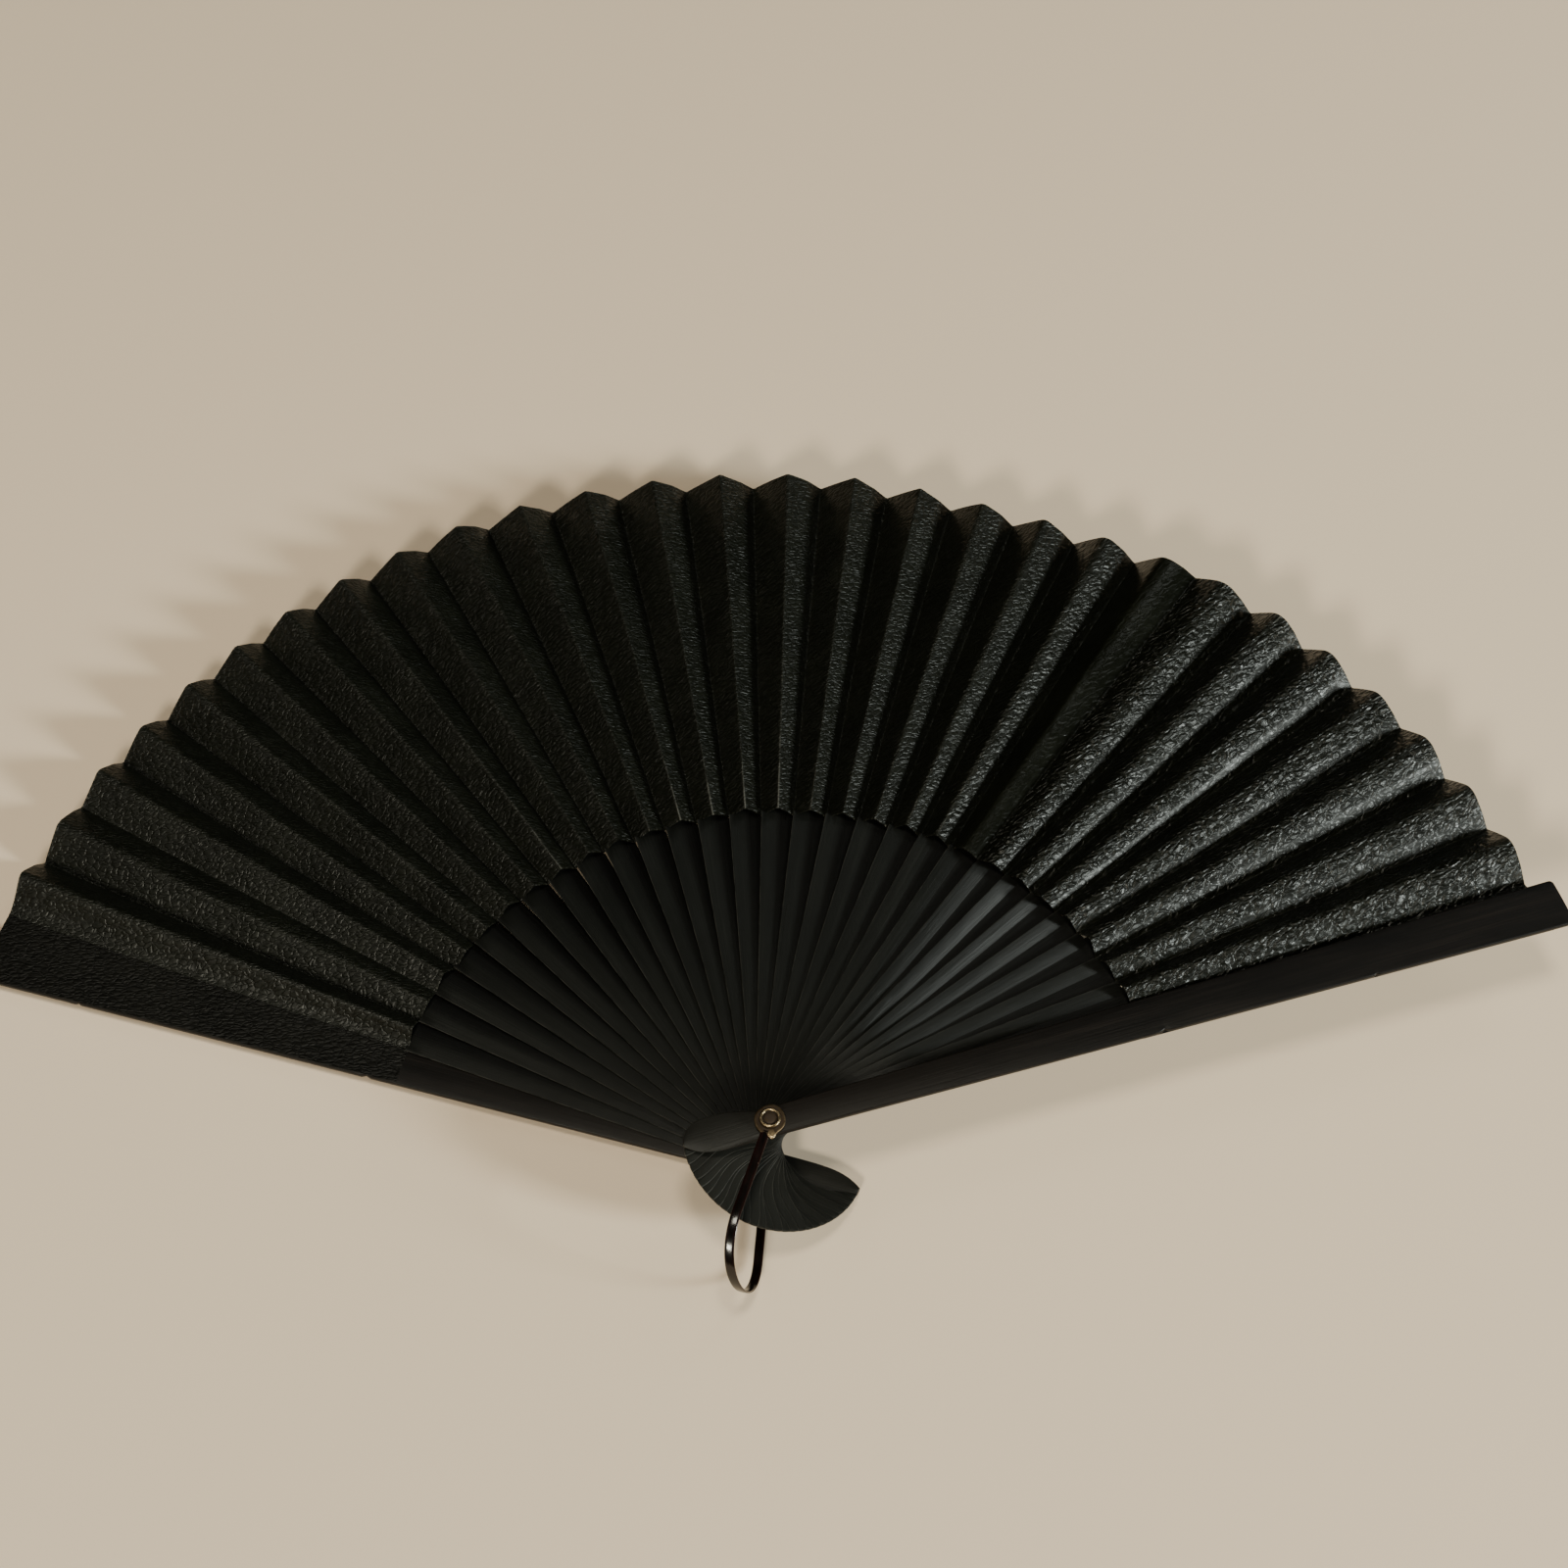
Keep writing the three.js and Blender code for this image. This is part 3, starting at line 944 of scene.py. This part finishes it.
    def crease(self, number: int, place: float, climb: float, share: np.ndarray) -> np.ndarray:
        """Points along a ridge or valley.

        Args:
            number: the rib that it belongs to.
            place: the stick it lies near.
            climb: how it climbs outwards, 1 as the solid's ridge and -1 as its valley.
            share: places along it, from the inner edge to the outer edge.

        Returns:
            The points.
        """
        radius = self.radius(place, share)
        base = self.layout.rib_z(number) + self.layout.ridge_base - self.half_height
        return polar(radius, self.turn(place, share), base + climb * self.layout.ridge_rise * radius)

    def ridge(self, number: int, share: np.ndarray) -> np.ndarray:
        """Points along the ridge over a rib."""
        return self.crease(number, number, 1 + self.lifts[0, number], share)

    def valley(self, number: int, share: np.ndarray) -> np.ndarray:
        """Points along the valley after a ridge; valley 0 lies on the rear guard."""
        climb = self.lifts[1, number] - 1
        return self.crease(number, number + 0.5, climb, share) if number else self.rear_edge(share)

    def rear_edge(self, share: np.ndarray) -> np.ndarray:
        """Points along the fold where the first facet leaves the rear guard, just over its top."""
        seat = self.layout.layer("rear_guard")[1] + self.seat_gap
        return polar(self.radius(0.5, share), self.turn(0.5, share), seat)

    def front_edge(self, share: np.ndarray) -> np.ndarray:
        """Points along the fold where the last facet meets the front guard, just under it."""
        seat = self.layout.layer("front_guard")[0] - self.seat_gap
        place = self.layout.rib_count + self.front_fold
        return polar(self.radius(place, share), self.layout.stick_angle(place), seat)

    def profile(self, kind: Facet, number: int, share: np.ndarray) -> np.ndarray:
        """Drop along a facet from its ridge, 0, to its valley, 1.

        Args:
            kind: a falling facet also bends at the edge of the rib's strip that is glued beneath it.
            number: the number of its ridge; the ridges at the right have gone rounder.
            share: places across the facet, from the ridge.

        Returns:
            The drop at each place.
        """
        fine = np.linspace(0, 1, 801)
        soft = np.interp(number, *zip(*self.ridge_shares))
        is_first = kind is Facet.RISE and number == 1
        end = self.first_valley_share if is_first else self.valley_share
        slope = np.minimum(1, fine / soft) * np.minimum(1, (1 - fine) / end)
        if kind is Facet.FALL:
            past = np.clip((fine - self.strip_share) / self.strip_soft + 0.5, 0, 1)
            slope = slope * (1 + self.strip_bend * past)
        drop = np.concatenate([[0], np.cumsum((slope[1:] + slope[:-1]) / 2)])
        return np.interp(share, fine, drop / drop[-1])

    def flat_place(self, radius: np.ndarray, place: np.ndarray) -> np.ndarray:
        """Where points lie on the sheet before pleating, along and across the emboss.

        Args:
            radius: their radii.
            place: the sticks they lie near.

        Returns:
            The places on the flat sheet.
        """
        half = self.layout.pitch / 2
        spread = math.hypot(half, 2 * self.layout.ridge_rise) / half
        turn = (self.layout.stick_angle(0) - math.pi / 2 - place * self.layout.pitch) * spread
        return polar(radius, turn + math.pi / 2 - math.radians(self.emboss_deg), 0.0)

    def facet(self, kind: Facet, number: int, ridge: np.ndarray, valley: np.ndarray) -> Shell:
        """One facet of the sheet.

        Args:
            kind: falling from its ridge or rising to it.
            number: the number of the facet's ridge.
            ridge: points along its ridge.
            valley: points along its valley.

        Returns:
            The facet as a thin closed sheet, with its grain, fold and rub marks.
        """
        is_fall = kind is Facet.FALL
        towards = 1 if is_fall else -1
        grid = ridge[:, None] + (valley - ridge)[:, None] * ACROSS_FACET[:, None]
        drop = (valley - ridge)[:, 2:]
        grid[..., 2] = ridge[:, 2:] + drop * self.profile(kind, number, ACROSS_FACET)
        radius = np.hypot(grid[..., 0], grid[..., 1])
        belly = np.sin(math.pi * ACROSS_FACET) * radius / self.layout.leaf_outer
        bulge = self.fall_bulge if is_fall else self.rise_bulge if number > 1 else self.first_bulge
        # Each facet starts its ripples elsewhere.
        phase = 2.4 * number + (0.0 if is_fall else 1.1)
        long, short = self.ripple_lengths
        ripple = np.sin(radius / long + phase) + 0.6 * np.sin(radius / short + 1.7 * phase)
        grid[..., 2] += belly * (bulge + self.cockle * ripple)
        from_ridge = np.linalg.norm(valley - ridge, axis=-1)[:, None] * ACROSS_FACET
        along, inner, tip = self.rubs[number]
        inward, outward = radius - radius.min(), radius.max() - radius
        inner_fade, tip_fade = self.rub_fades
        strength = along + inner * np.exp(-inward / inner_fade) + tip * np.exp(-outward / tip_fade)
        marks = {
            "grain": self.flat_place(radius, number + towards * 0.5 * ACROSS_FACET),
            "fold": stacked(radius, towards * from_ridge, RIDGE_MARK * number),
            "rub": stacked(from_ridge, strength, np.minimum(inward, outward)),
        }
        return sheet(grid, self.half_height, marks)

    def flap(self, fold: np.ndarray, guard: "Guard") -> Shell:
        """A flap of the sheet glued flat on a guard, almost to the guard's outer edge.

        Args:
            fold: points along the fold where the flap starts.
            guard: the guard that carries it.

        Returns:
            The flap as a thin closed sheet.
        """
        radius = np.hypot(fold[:, 0], fold[:, 1])[:, None]
        first = np.arctan2(fold[:, 1], fold[:, 0])[:, None]
        middle = self.layout.stick_angle(guard.place)
        beyond = np.arcsin((guard.half_width(radius) - self.flap_margin) / radius)
        free = middle + (1 if guard.place == 0 else -1) * beyond
        turn = first + (free - first) * np.linspace(0, 1, self.flap_steps)
        far = np.full_like(turn, FAR)
        marks = {
            "grain": self.flat_place(radius, guard.place + (middle - turn) / self.layout.pitch),
            "fold": stacked(radius, far, far),
            "rub": stacked(far, 0.0, far),
        }
        return sheet(polar(radius, turn, fold[:, 2:]), self.flap_half, marks)

    def build(self, rear: "Guard", front: "Guard") -> Iterator[Piece]:
        """Makes every facet and flap.

        Args:
            rear: the guard under the first flap.
            front: the guard over the last flap.

        Returns:
            The pieces, one after another.
        """
        run = np.linspace(0, 1, self.rows)
        flap = self.flap(self.rear_edge(run), rear)
        yield flap.piece("leaf_flap_rear", FLAP_FINISH, Slot.LEAF, rear.node)
        for number in range(self.layout.rib_count + 1):
            if number:
                yield self.falling(number, run)
            yield self.rising(number, run)
        flap = self.flap(self.front_edge(run), front)
        yield flap.piece("leaf_flap_front", FLAP_FINISH, Slot.LEAF, front.node)

    def falling(self, number: int, run: np.ndarray) -> Piece:
        """Makes the facet from ridge to valley, glued on its rib.

        Args:
            number: the number of its ridge and rib.
            run: places along the folds.

        Returns:
            The piece.
        """
        body = numbered("rib", number)
        shell = self.facet(Facet.FALL, number, self.ridge(number, run), self.valley(number, run))
        piece = shell.piece(numbered("leaf_fall", number), LEAF_FINISH, Slot.LEAF, body)
        low, high = self.layout.layer(body)
        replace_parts(piece, numbered("leaf", number))
        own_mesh(piece)
        return piece

    def rising(self, number: int, run: np.ndarray) -> Piece:
        """Makes the facet from a valley up to the next ridge.

        Args:
            number: the number of its valley and rib; 0 is the rear guard's.
            run: places along the folds.

        Returns:
            The piece.
        """
        body = numbered("rib", number) if number else "rear_guard"
        start = self.valley(number, run)
        is_last = number == self.layout.rib_count
        end = self.front_edge(run) if is_last else self.ridge(number + 1, run)
        shell = self.facet(Facet.RISE, number + 1, end, start)
        piece = shell.piece(numbered("leaf_rise", number), LEAF_FINISH, Slot.LEAF, body)
        level = self.layout.rib_z(number) + self.closed_lift if number else start[0, 2]
        share = (level - start[:, 2]) / (end[:, 2] - start[:, 2])
        line = start + (end - start) * share[:, None]
        along = (line[-1] - line[0]) / np.linalg.norm(line[-1] - line[0])
        climb = end[-1] - start[-1]
        climb = climb - np.dot(climb, along) * along
        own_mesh(piece)
        return piece


@dataclass
class Ribs:
    """The thin slats. Rows of under_leaf are the place past the shoulder, the left and the right side."""

    layout: FanLayout
    leaf: Leaf
    edge_radius: float = 0.2
    crown: float = 0.36
    under_leaf: Waves = ((0.4, 2.2, -3.8), (3.0, 1.9, -3.2), (4.2, 0.9, -1.7))
    twist: float = 0.2
    twist_steps: float = 8.0
    tip_taper: float = 0.55
    tail_loss: float = 0.08
    tail_waist: float = 4.2
    waist_stray: float = 1.3
    blade_steps: int = 20
    strip_steps: int = 14
    seed: int = 5

    def stations(self, outline: StickOutline, number: int) -> list[Station]:
        """Cross-sections of one rib, from its tail's end to its tip.

        Args:
            outline: the rib's measured outline.
            number: the rib's number.

        Returns:
            The stations.
        """
        inner, outer = self.layout.leaf_inner, self.layout.leaf_outer
        neck, neck_half = outline.neck, outline.neck_half
        shoulder = float(outline.along[outline.along < inner].max())
        blade = outline.half_between(shoulder - NEAR, shoulder + NEAR)
        tip = outline.across[outline.along > outline.length - NEAR]
        strip = float(np.ptp(tip)) / 2
        lean = float(tip.mean()) / outline.length
        stray = np.random.default_rng((self.seed, number)).uniform(-1, 1)
        waist = self.tail_waist + self.waist_stray * stray
        made = outline.tail(1 - self.tail_loss * number / self.layout.rib_count, waist)
        from_guard = min(number, self.layout.rib_count + 1 - number)
        twist = self.twist * min(1.0, from_guard / self.twist_steps)
        for share in np.linspace(0.06, 1, self.blade_steps):
            half = neck_half + (blade - neck_half) * share
            made.append(Station(neck + (shoulder - neck) * share, half, tilt=twist * share**1.5))
        for past, left, right in self.under_leaf:
            made.append(Station(shoulder + past, (left - right) / 2, (left + right) / 2, tilt=twist))
        start = made[-1].x + 1.0
        for share in np.linspace(0, 1, self.strip_steps):
            x = start + (outline.length - start) * share
            sway = self.leaf.sway(number + 0.25, max(0.0, (x - inner) / (outer - inner)))
            made.append(Station(x, strip * (1 - (1 - self.tip_taper) * share), x * (lean + sway)))
        return made

    def build(self) -> Iterator[Piece]:
        """Makes every rib.

        Returns:
            The pieces, one after another.
        """
        for number in range(1, self.layout.rib_count + 1):
            node = numbered("rib", number)
            outline = StickOutline(node, self.layout.stick_angle(number))
            section = StickSection(outline.thickness, self.edge_radius, self.crown)
            stations, low = self.stations(outline, number), self.layout.rib_z(number)
            shell = section.stick(stations, outline.angle, low, RIB_MARK * number)
            piece = shell.piece(numbered("slat", number), RIB_FINISH, Slot.RIB, node)
            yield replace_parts(piece, node)


class Nick(NamedTuple):
    """A small chip in a guard's edge: place along the guard, side (+1 left), depth and length."""

    x: float
    side: int
    depth: float
    length: float


@dataclass
class Guard:
    """One of the two thick outer sticks."""

    layout: FanLayout
    node: str
    place: int
    nicks: tuple[Nick, ...]
    tail_share: float = 1.0
    tail_dome: float = 0.12
    tail_thin: float = 0.0
    edge_radius: float = 0.42
    crown: float = 0.22
    tip_round: float = 1.0
    tip_bevel: float = 0.2
    tip_steps: int = 5
    straight_steps: int = 46
    nick_shares: tuple[float, ...] = (-0.6, -0.35, -0.12, 0.0, 0.1, 0.3, 0.5)
    outline: StickOutline = field(init=False, repr=False)

    def __post_init__(self) -> None:
        """Measures the guard's solid."""
        self.outline = StickOutline(self.node, self.layout.stick_angle(self.place))

    def half_width(self, x: Values) -> Values:
        """Half of the guard's width at places along it: it widens evenly from the neck to the tip."""
        tip_half = self.outline.half_between(self.outline.length / 2, self.outline.length)
        return self.outline.neck_half + (tip_half - self.outline.neck_half) * x / self.outline.length

    def stations(self) -> list[Station]:
        """Cross-sections from the tail's end to the square-cut tip.

        Returns:
            The stations.
        """
        outline = self.outline
        tip_half = self.half_width(outline.length)
        made = outline.tail(self.tail_share, dome=self.tail_dome, thin=self.tail_thin)
        straight = outline.length - self.tip_round
        places = list(np.linspace(outline.neck, straight, self.straight_steps)[1:])
        places += [nick.x + nick.length * share for nick in self.nicks for share in self.nick_shares]
        made += [Station(x, self.half_width(x)) for x in sorted(places)]
        for k in range(1, self.tip_steps + 1):
            turn = math.pi / 2 * k / self.tip_steps
            bevel = self.tip_bevel if k == self.tip_steps else 0.0
            half = tip_half - self.tip_round * (1 - math.cos(turn))
            made.append(Station(straight + self.tip_round * math.sin(turn), half, 0.0, bevel))
        return made

    def chipped(self, station: Station) -> Station:
        """Takes the nicks' depth off a station's side.

        Args:
            station: a cross-section of the guard.

        Returns:
            The station, narrower where a nick is.
        """
        for nick in self.nicks:
            off = abs(station.x - nick.x) / (nick.length / 2)
            if off < 1:
                loss = nick.depth * (1 - off) / 2
                station = station._replace(half=station.half - loss, middle=station.middle - nick.side * loss)
        return station

    def build(self) -> Piece:
        """Makes the guard.

        Returns:
            The piece.
        """
        section = StickSection(self.outline.thickness, self.edge_radius, self.crown)
        stations = [self.chipped(station) for station in self.stations()]
        low, seed = self.layout.layer(self.node)[0], GUARD_MARK + GUARD_MARK_STEP * self.place
        shell = section.stick(stations, self.outline.angle, low, seed)
        piece = shell.piece(f"{self.node}_stick", GUARD_FINISH, Slot.GUARD, self.node)
        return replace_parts(piece, self.node)


def lathe(profile: Sequence[tuple[float, float, float]], seed: float, steps: int = 64) -> Shell:
    """A body turned about the rivet's axis.

    Args:
        profile: radius, height and proud mark of each point, from the under side's middle to the top's.
        seed: shifts the grain.
        steps: points round the body.

    Returns:
        The body.
    """
    turns = np.linspace(0, 2 * math.pi, steps, endpoint=False)
    rings = [polar(max(radius, LEAST_RADIUS), turns, height) for radius, height, _ in profile]
    grains = [polar(radius, turns, seed + height) for radius, height, _ in profile]
    proud = [np.full(steps, mark) for *_, mark in profile]
    return loft(np.array(rings), {"grain": np.array(grains), "proud": np.array(proud)})


@dataclass
class Rivet:
    """The tubular brass rivet: a rolled rim round a hollow that holds the pin's dull end."""

    shank: float = 1.4
    hollow: float = 1.72
    hollow_depth: float = 0.34
    pin: float = 1.5
    soft: float = 0.25
    rim_gap: float = 0.15
    rim_steps: int = 12
    crease_deg: float = 50.0
    seed: float = 3.0
    node: str = "rivet"

    def build(self) -> Piece:
        """Makes the rivet with both heads, as radius, height and proud mark of each point.

        Returns:
            The piece.
        """
        low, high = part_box(self.node)
        head, top = (high.x - low.x) / 2 / MM, high.z / MM
        rear_eye, front_eye = (corner.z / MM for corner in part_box("bail"))
        roll = (head - self.hollow) / 2
        squat = min(roll, top - front_eye - self.rim_gap)
        floor = top - self.hollow_depth
        rear = [
            (0.0, 0.0, 0.6),
            (head - self.soft, 0.0, 0.8),
            (head - 0.07, 0.07, 0.9),
            (head, self.soft, 0.9),
            (head, rear_eye - 0.06, 0.3),
            (self.shank, rear_eye - 0.05, 0.1),
        ]
        front = [
            (self.shank, front_eye + 0.05, 0.1),
            (head - 0.1, front_eye + 0.06, 0.1),
            (head, front_eye + 0.1, 0.3),
        ]
        rim = []
        for k in range(self.rim_steps + 1):
            turn = math.pi * k / self.rim_steps
            lift = math.sin(turn)
            rim.append((head - roll + roll * math.cos(turn), top - squat + squat * lift, 0.35 + 0.65 * lift))
        dish = [
            (self.hollow - 0.08, floor - 0.05, 0.0),
            (self.pin + 0.05, floor - 0.12, 0.0),
            (self.pin, floor, 0.12),
            (self.pin - 0.15, floor + 0.09, 0.3),
            (self.pin * 0.5, floor + 0.13, 0.22),
            (0.0, floor + 0.14, 0.2),
        ]
        shell = lathe(rear + front + rim + dish, self.seed)
        piece = shell.piece("rivet_brass", BRASS_FINISH, Slot.BRASS, "rear_guard", self.crease_deg)
        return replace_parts(piece, self.node)


@dataclass
class Bail:
    """The lacquered strip that loops round the tails, with a brass eye plate at each end.

    The rows of an eye are share of its radius, height and proud mark.
    """

    eye_half: float = 3.75
    eye_oval: float = 0.045
    eye_square: float = 0.02
    eye_steps: int = 72
    eye_seed: float = 9.0
    eye_crease_deg: float = 50.0
    eye_rows: Waves = (
        (0.25, 0.04, 0.3), (0.93, 0.04, 0.3), (0.985, 0.14, 0.4), (1.0, 0.3, 0.4), (0.985, 0.5, 0.5),
        (0.94, 0.585, 0.5), (0.85, 0.6, 0.32), (0.68, 0.57, 0.2), (0.5, 0.55, 0.1), (0.25, 0.55, 0.1),
    )
    tongue: float = 1.1
    tongue_turn: float = 0.42
    tongue_width: float = 0.22
    strip_width: float = 2.2
    strip_thickness: float = 0.6
    strip_roundness: Span = (0.55, 0.75)
    strip_steps: int = 28
    strip_crease_deg: float = 60.0
    front_deg: float = 251.0
    rear_deg: float = 264.0
    tail_clear: float = 24.0
    reach_gap: float = 0.05
    eye_overlap: float = 0.75
    leg_steps: int = 22
    bight_steps: int = 56
    node: str = "bail"

    def eye(self, face: Face) -> Piece:
        """Makes the brass plate round the rivet on one side.

        Args:
            face: front or rear.

        Returns:
            The piece.
        """
        low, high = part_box(self.node)
        is_front = face is Face.FRONT
        under = high.z / MM - self.strip_thickness if is_front else low.z / MM
        turns = np.linspace(0, 2 * math.pi, self.eye_steps, endpoint=False)
        off = turns - math.radians(self.front_deg if is_front else self.rear_deg)
        corner = 1 + self.eye_oval * np.cos(2 * off) + self.eye_square * np.cos(4 * off)
        away = np.angle(np.exp(1j * (off - self.tongue_turn)))
        tongue = self.tongue * bell(away, 0.0, self.tongue_width)
        rings, grains, proud = [], [], []
        for share, height, mark in self.eye_rows:
            radius = share * (self.eye_half * corner + tongue * min(1.0, max(0.0, (share - 0.5) / 0.4)))
            rings.append(polar(radius, turns, under + height))
            grains.append(polar(radius, turns, self.eye_seed + under))
            # The tongue's outer rows get a higher proud mark and so brighter brass: a painted highlight, not
            # raised metal.
            proud.append(mark + 0.4 * (tongue > 0.3) * (share > 0.6))
        shell = loft(np.array(rings), {"grain": np.array(grains), "proud": np.clip(np.array(proud), 0, 1)})
        return shell.piece(f"bail_eye_{face.value}", BRASS_FINISH, Slot.BRASS, "bail", self.eye_crease_deg)

    def line(self) -> tuple[np.ndarray, np.ndarray]:
        """Middle line of the strip, from the front eye round to the rear eye.

        Returns:
            Its distances from the rivet's axis, and its heights.
        """
        low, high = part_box(self.node)
        points, half = node_points(self.node), self.strip_thickness / 2
        reach = float(np.hypot(points[:, 0], points[:, 1]).max()) - half - self.reach_gap
        top, bottom = high.z / MM - half, low.z / MM + half
        turns = np.linspace(0, math.pi, self.bight_steps)
        bight = self.tail_clear + (reach - self.tail_clear) * np.sin(turns)
        bight_height = (top + bottom) / 2 + (top - bottom) / 2 * np.cos(turns)
        legs = np.linspace(self.eye_half - self.eye_overlap, self.tail_clear, self.leg_steps)[:-1]
        distance = np.concatenate([legs, bight, legs[::-1]])
        height = np.concatenate([np.full_like(legs, top), bight_height, np.full_like(legs, bottom)])
        return distance, height

    def strip(self) -> Piece:
        """Makes the strip: a flattened oval carried along its middle line.

        Returns:
            The piece.
        """
        distance, height = self.line()
        fall = (height.max() - height) / np.ptp(height)
        path = polar(distance, np.radians(self.front_deg + (self.rear_deg - self.front_deg) * fall), height)
        tangent = np.gradient(path, axis=0)
        tangent /= np.linalg.norm(tangent, axis=1)[:, None]
        middle = math.radians((self.front_deg + self.rear_deg) / 2)
        across = np.array([-math.sin(middle), math.cos(middle), 0.0])
        side = across - (tangent @ across)[:, None] * tangent
        side /= np.linalg.norm(side, axis=1)[:, None]
        out = np.cross(tangent, side)
        turns = np.linspace(0, 2 * math.pi, self.strip_steps, endpoint=False)
        cos, sin = np.cos(turns), np.sin(turns)
        wide, thick = self.strip_roundness
        u = np.sign(cos) * np.abs(cos) ** wide * self.strip_width / 2
        v = np.sign(sin) * np.abs(sin) ** thick * self.strip_thickness / 2
        rings = path[:, None] + side[:, None] * u[:, None] + out[:, None] * v[:, None]
        length = np.concatenate([[0], np.cumsum(np.linalg.norm(np.diff(path, axis=0), axis=1))])
        edge = np.broadcast_to(self.strip_width / 2 - np.abs(u), rings.shape[:2])
        shell = loft(rings, {"grain": stacked(length[:, None], u, v), "edge": edge})
        piece = shell.piece("bail_loop", STRIP_FINISH, Slot.STRIP, "bail", self.strip_crease_deg)
        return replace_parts(piece, self.node)

    def build(self) -> tuple[Piece, ...]:
        """Makes the strip and its eyes."""
        return self.strip(), self.eye(Face.FRONT), self.eye(Face.REAR)


@dataclass(frozen=True)
class Lamp:
    """A soft area lamp: where it stands, its size in metres, its power in watts and its colour."""

    name: str
    place: tuple[float, float, float]
    size: float
    power: float
    colour: Colour


@dataclass
class Studio:
    """Floor, lamps and the camera at the photograph's viewing angle."""

    target: tuple[float, float, float] = (6.43, 109.06, 0.0)
    distance: float = 738.4
    azimuth_deg: float = -3.98
    elevation_deg: float = 56.35
    roll_deg: float = 3.27
    focal_px: float = 2935.0
    frame_px: float = 1600.0
    sensor: float = 36.0
    clip: Span = (0.01, 20.0)
    floor_half: float = 2.0
    floor_gap: float = 0.0002
    ambient: Colour = (1.0, 0.95, 0.88)
    ambient_power: float = 0.012
    lamps: tuple[Lamp, ...] = (
        Lamp("lamp_over", (0.006, 0.05, 2.0), 0.40, 13.0, (1.0, 0.95, 0.78)),
        Lamp("lamp_low", (1.761, -0.574, 0.684), 0.30, 44.0, (0.93, 1.0, 0.94)),
        Lamp("lamp_front", (-0.500, -1.458, 1.147), 0.30, 24.0, (1.0, 0.95, 0.78)),
        Lamp("lamp_left", (-1.516, -0.308, 1.231), 0.40, 1.4, (1.0, 0.95, 0.82)),
        Lamp("lamp_left_back", (-1.516, 0.508, 1.231), 0.40, 1.0, (1.0, 0.95, 0.82)),
        Lamp("lamp_right_back", (1.006, 1.1, 1.414), 0.40, 2.0, (0.95, 1.0, 0.92)),
    )

    def camera(self) -> None:
        """Makes the scene's camera."""
        azimuth, elevation = math.radians(self.azimuth_deg), math.radians(self.elevation_deg)
        level = math.cos(elevation)
        back = Vector((math.sin(azimuth) * level, -math.cos(azimuth) * level, math.sin(elevation)))
        right = (-back).cross(Vector((0, 0, 1))).normalized()
        up = right.cross(-back)
        roll = math.radians(self.roll_deg)
        x_axis = right * math.cos(roll) + up * math.sin(roll)
        y_axis = up * math.cos(roll) - right * math.sin(roll)
        lens = bpy.data.cameras.new("photo_camera")
        lens.sensor_width = self.sensor
        lens.lens = self.sensor * self.focal_px / self.frame_px
        lens.clip_start, lens.clip_end = self.clip
        camera = linked("photo_camera", lens)
        place = (Vector(self.target) + back * self.distance) * MM
        turn = Matrix((x_axis, y_axis, back)).transposed().to_4x4()
        camera.matrix_world = Matrix.Translation(place) @ turn
        bpy.context.scene.camera = camera

    def floor(self) -> None:
        """Makes the floor, just under the fan."""
        half = self.floor_half
        mesh = bpy.data.meshes.new("floor")
        corners = [(-half, -half, 0.0), (half, -half, 0.0), (half, half, 0.0), (-half, half, 0.0)]
        mesh.from_pydata(corners, [], [(0, 1, 2, 3)])
        mesh.materials.append(FLOOR_FINISH.material())
        floor = linked("floor", mesh)
        floor.location.z = cad_box[0].z - self.floor_gap

    def light(self, lamp: Lamp) -> None:
        """Makes one area lamp that faces the fan.

        Args:
            lamp: the lamp.
        """
        data = bpy.data.lights.new(lamp.name, "AREA")
        data.size = lamp.size
        data.energy = lamp.power
        data.color = lamp.colour
        made = linked(lamp.name, data)
        made.location = lamp.place
        aim = Vector(self.target) * MM - made.location
        made.rotation_euler = aim.to_track_quat("-Z", "Y").to_euler()

    def build(self) -> None:
        """Makes the camera, the floor, the lamps and the soft ambient light."""
        self.camera()
        self.floor()
        for lamp in self.lamps:
            self.light(lamp)
        world = bpy.data.worlds.new("studio")
        world.use_nodes = True
        sky = world.node_tree.nodes["Background"]
        sky.inputs["Color"].default_value = (*self.ambient, 1.0)
        sky.inputs["Strength"].default_value = self.ambient_power
        bpy.context.scene.world = world


def main() -> None:
    """Builds the studio and every sub-assembly of the fan."""
    logging.basicConfig(level=logging.INFO, format="%(name)s: %(message)s")
    Studio().build()
    layout = FanLayout.measured()
    leaf = Leaf(layout)
    rear = Guard(layout, "rear_guard", 0, (Nick(98.0, 1, 0.5, 2.2), Nick(171.0, 1, 0.3, 1.4)))
    front = Guard(
        layout, "front_guard", layout.rib_count + 1,
        (Nick(96.0, -1, 0.55, 2.4), Nick(150.0, -1, 0.3, 1.3)),
        tail_share=0.91, tail_thin=1.0,
    )
    pieces = [rear.build(), front.build(), *Ribs(layout, leaf).build(), *leaf.build(rear, front)]
    pieces += [Rivet().build(), *Bail().build()]
    for piece in pieces:
        LOG.info("%s: %d faces", piece.name, len(piece.data.polygons))


if __name__ == "__main__":
    main()
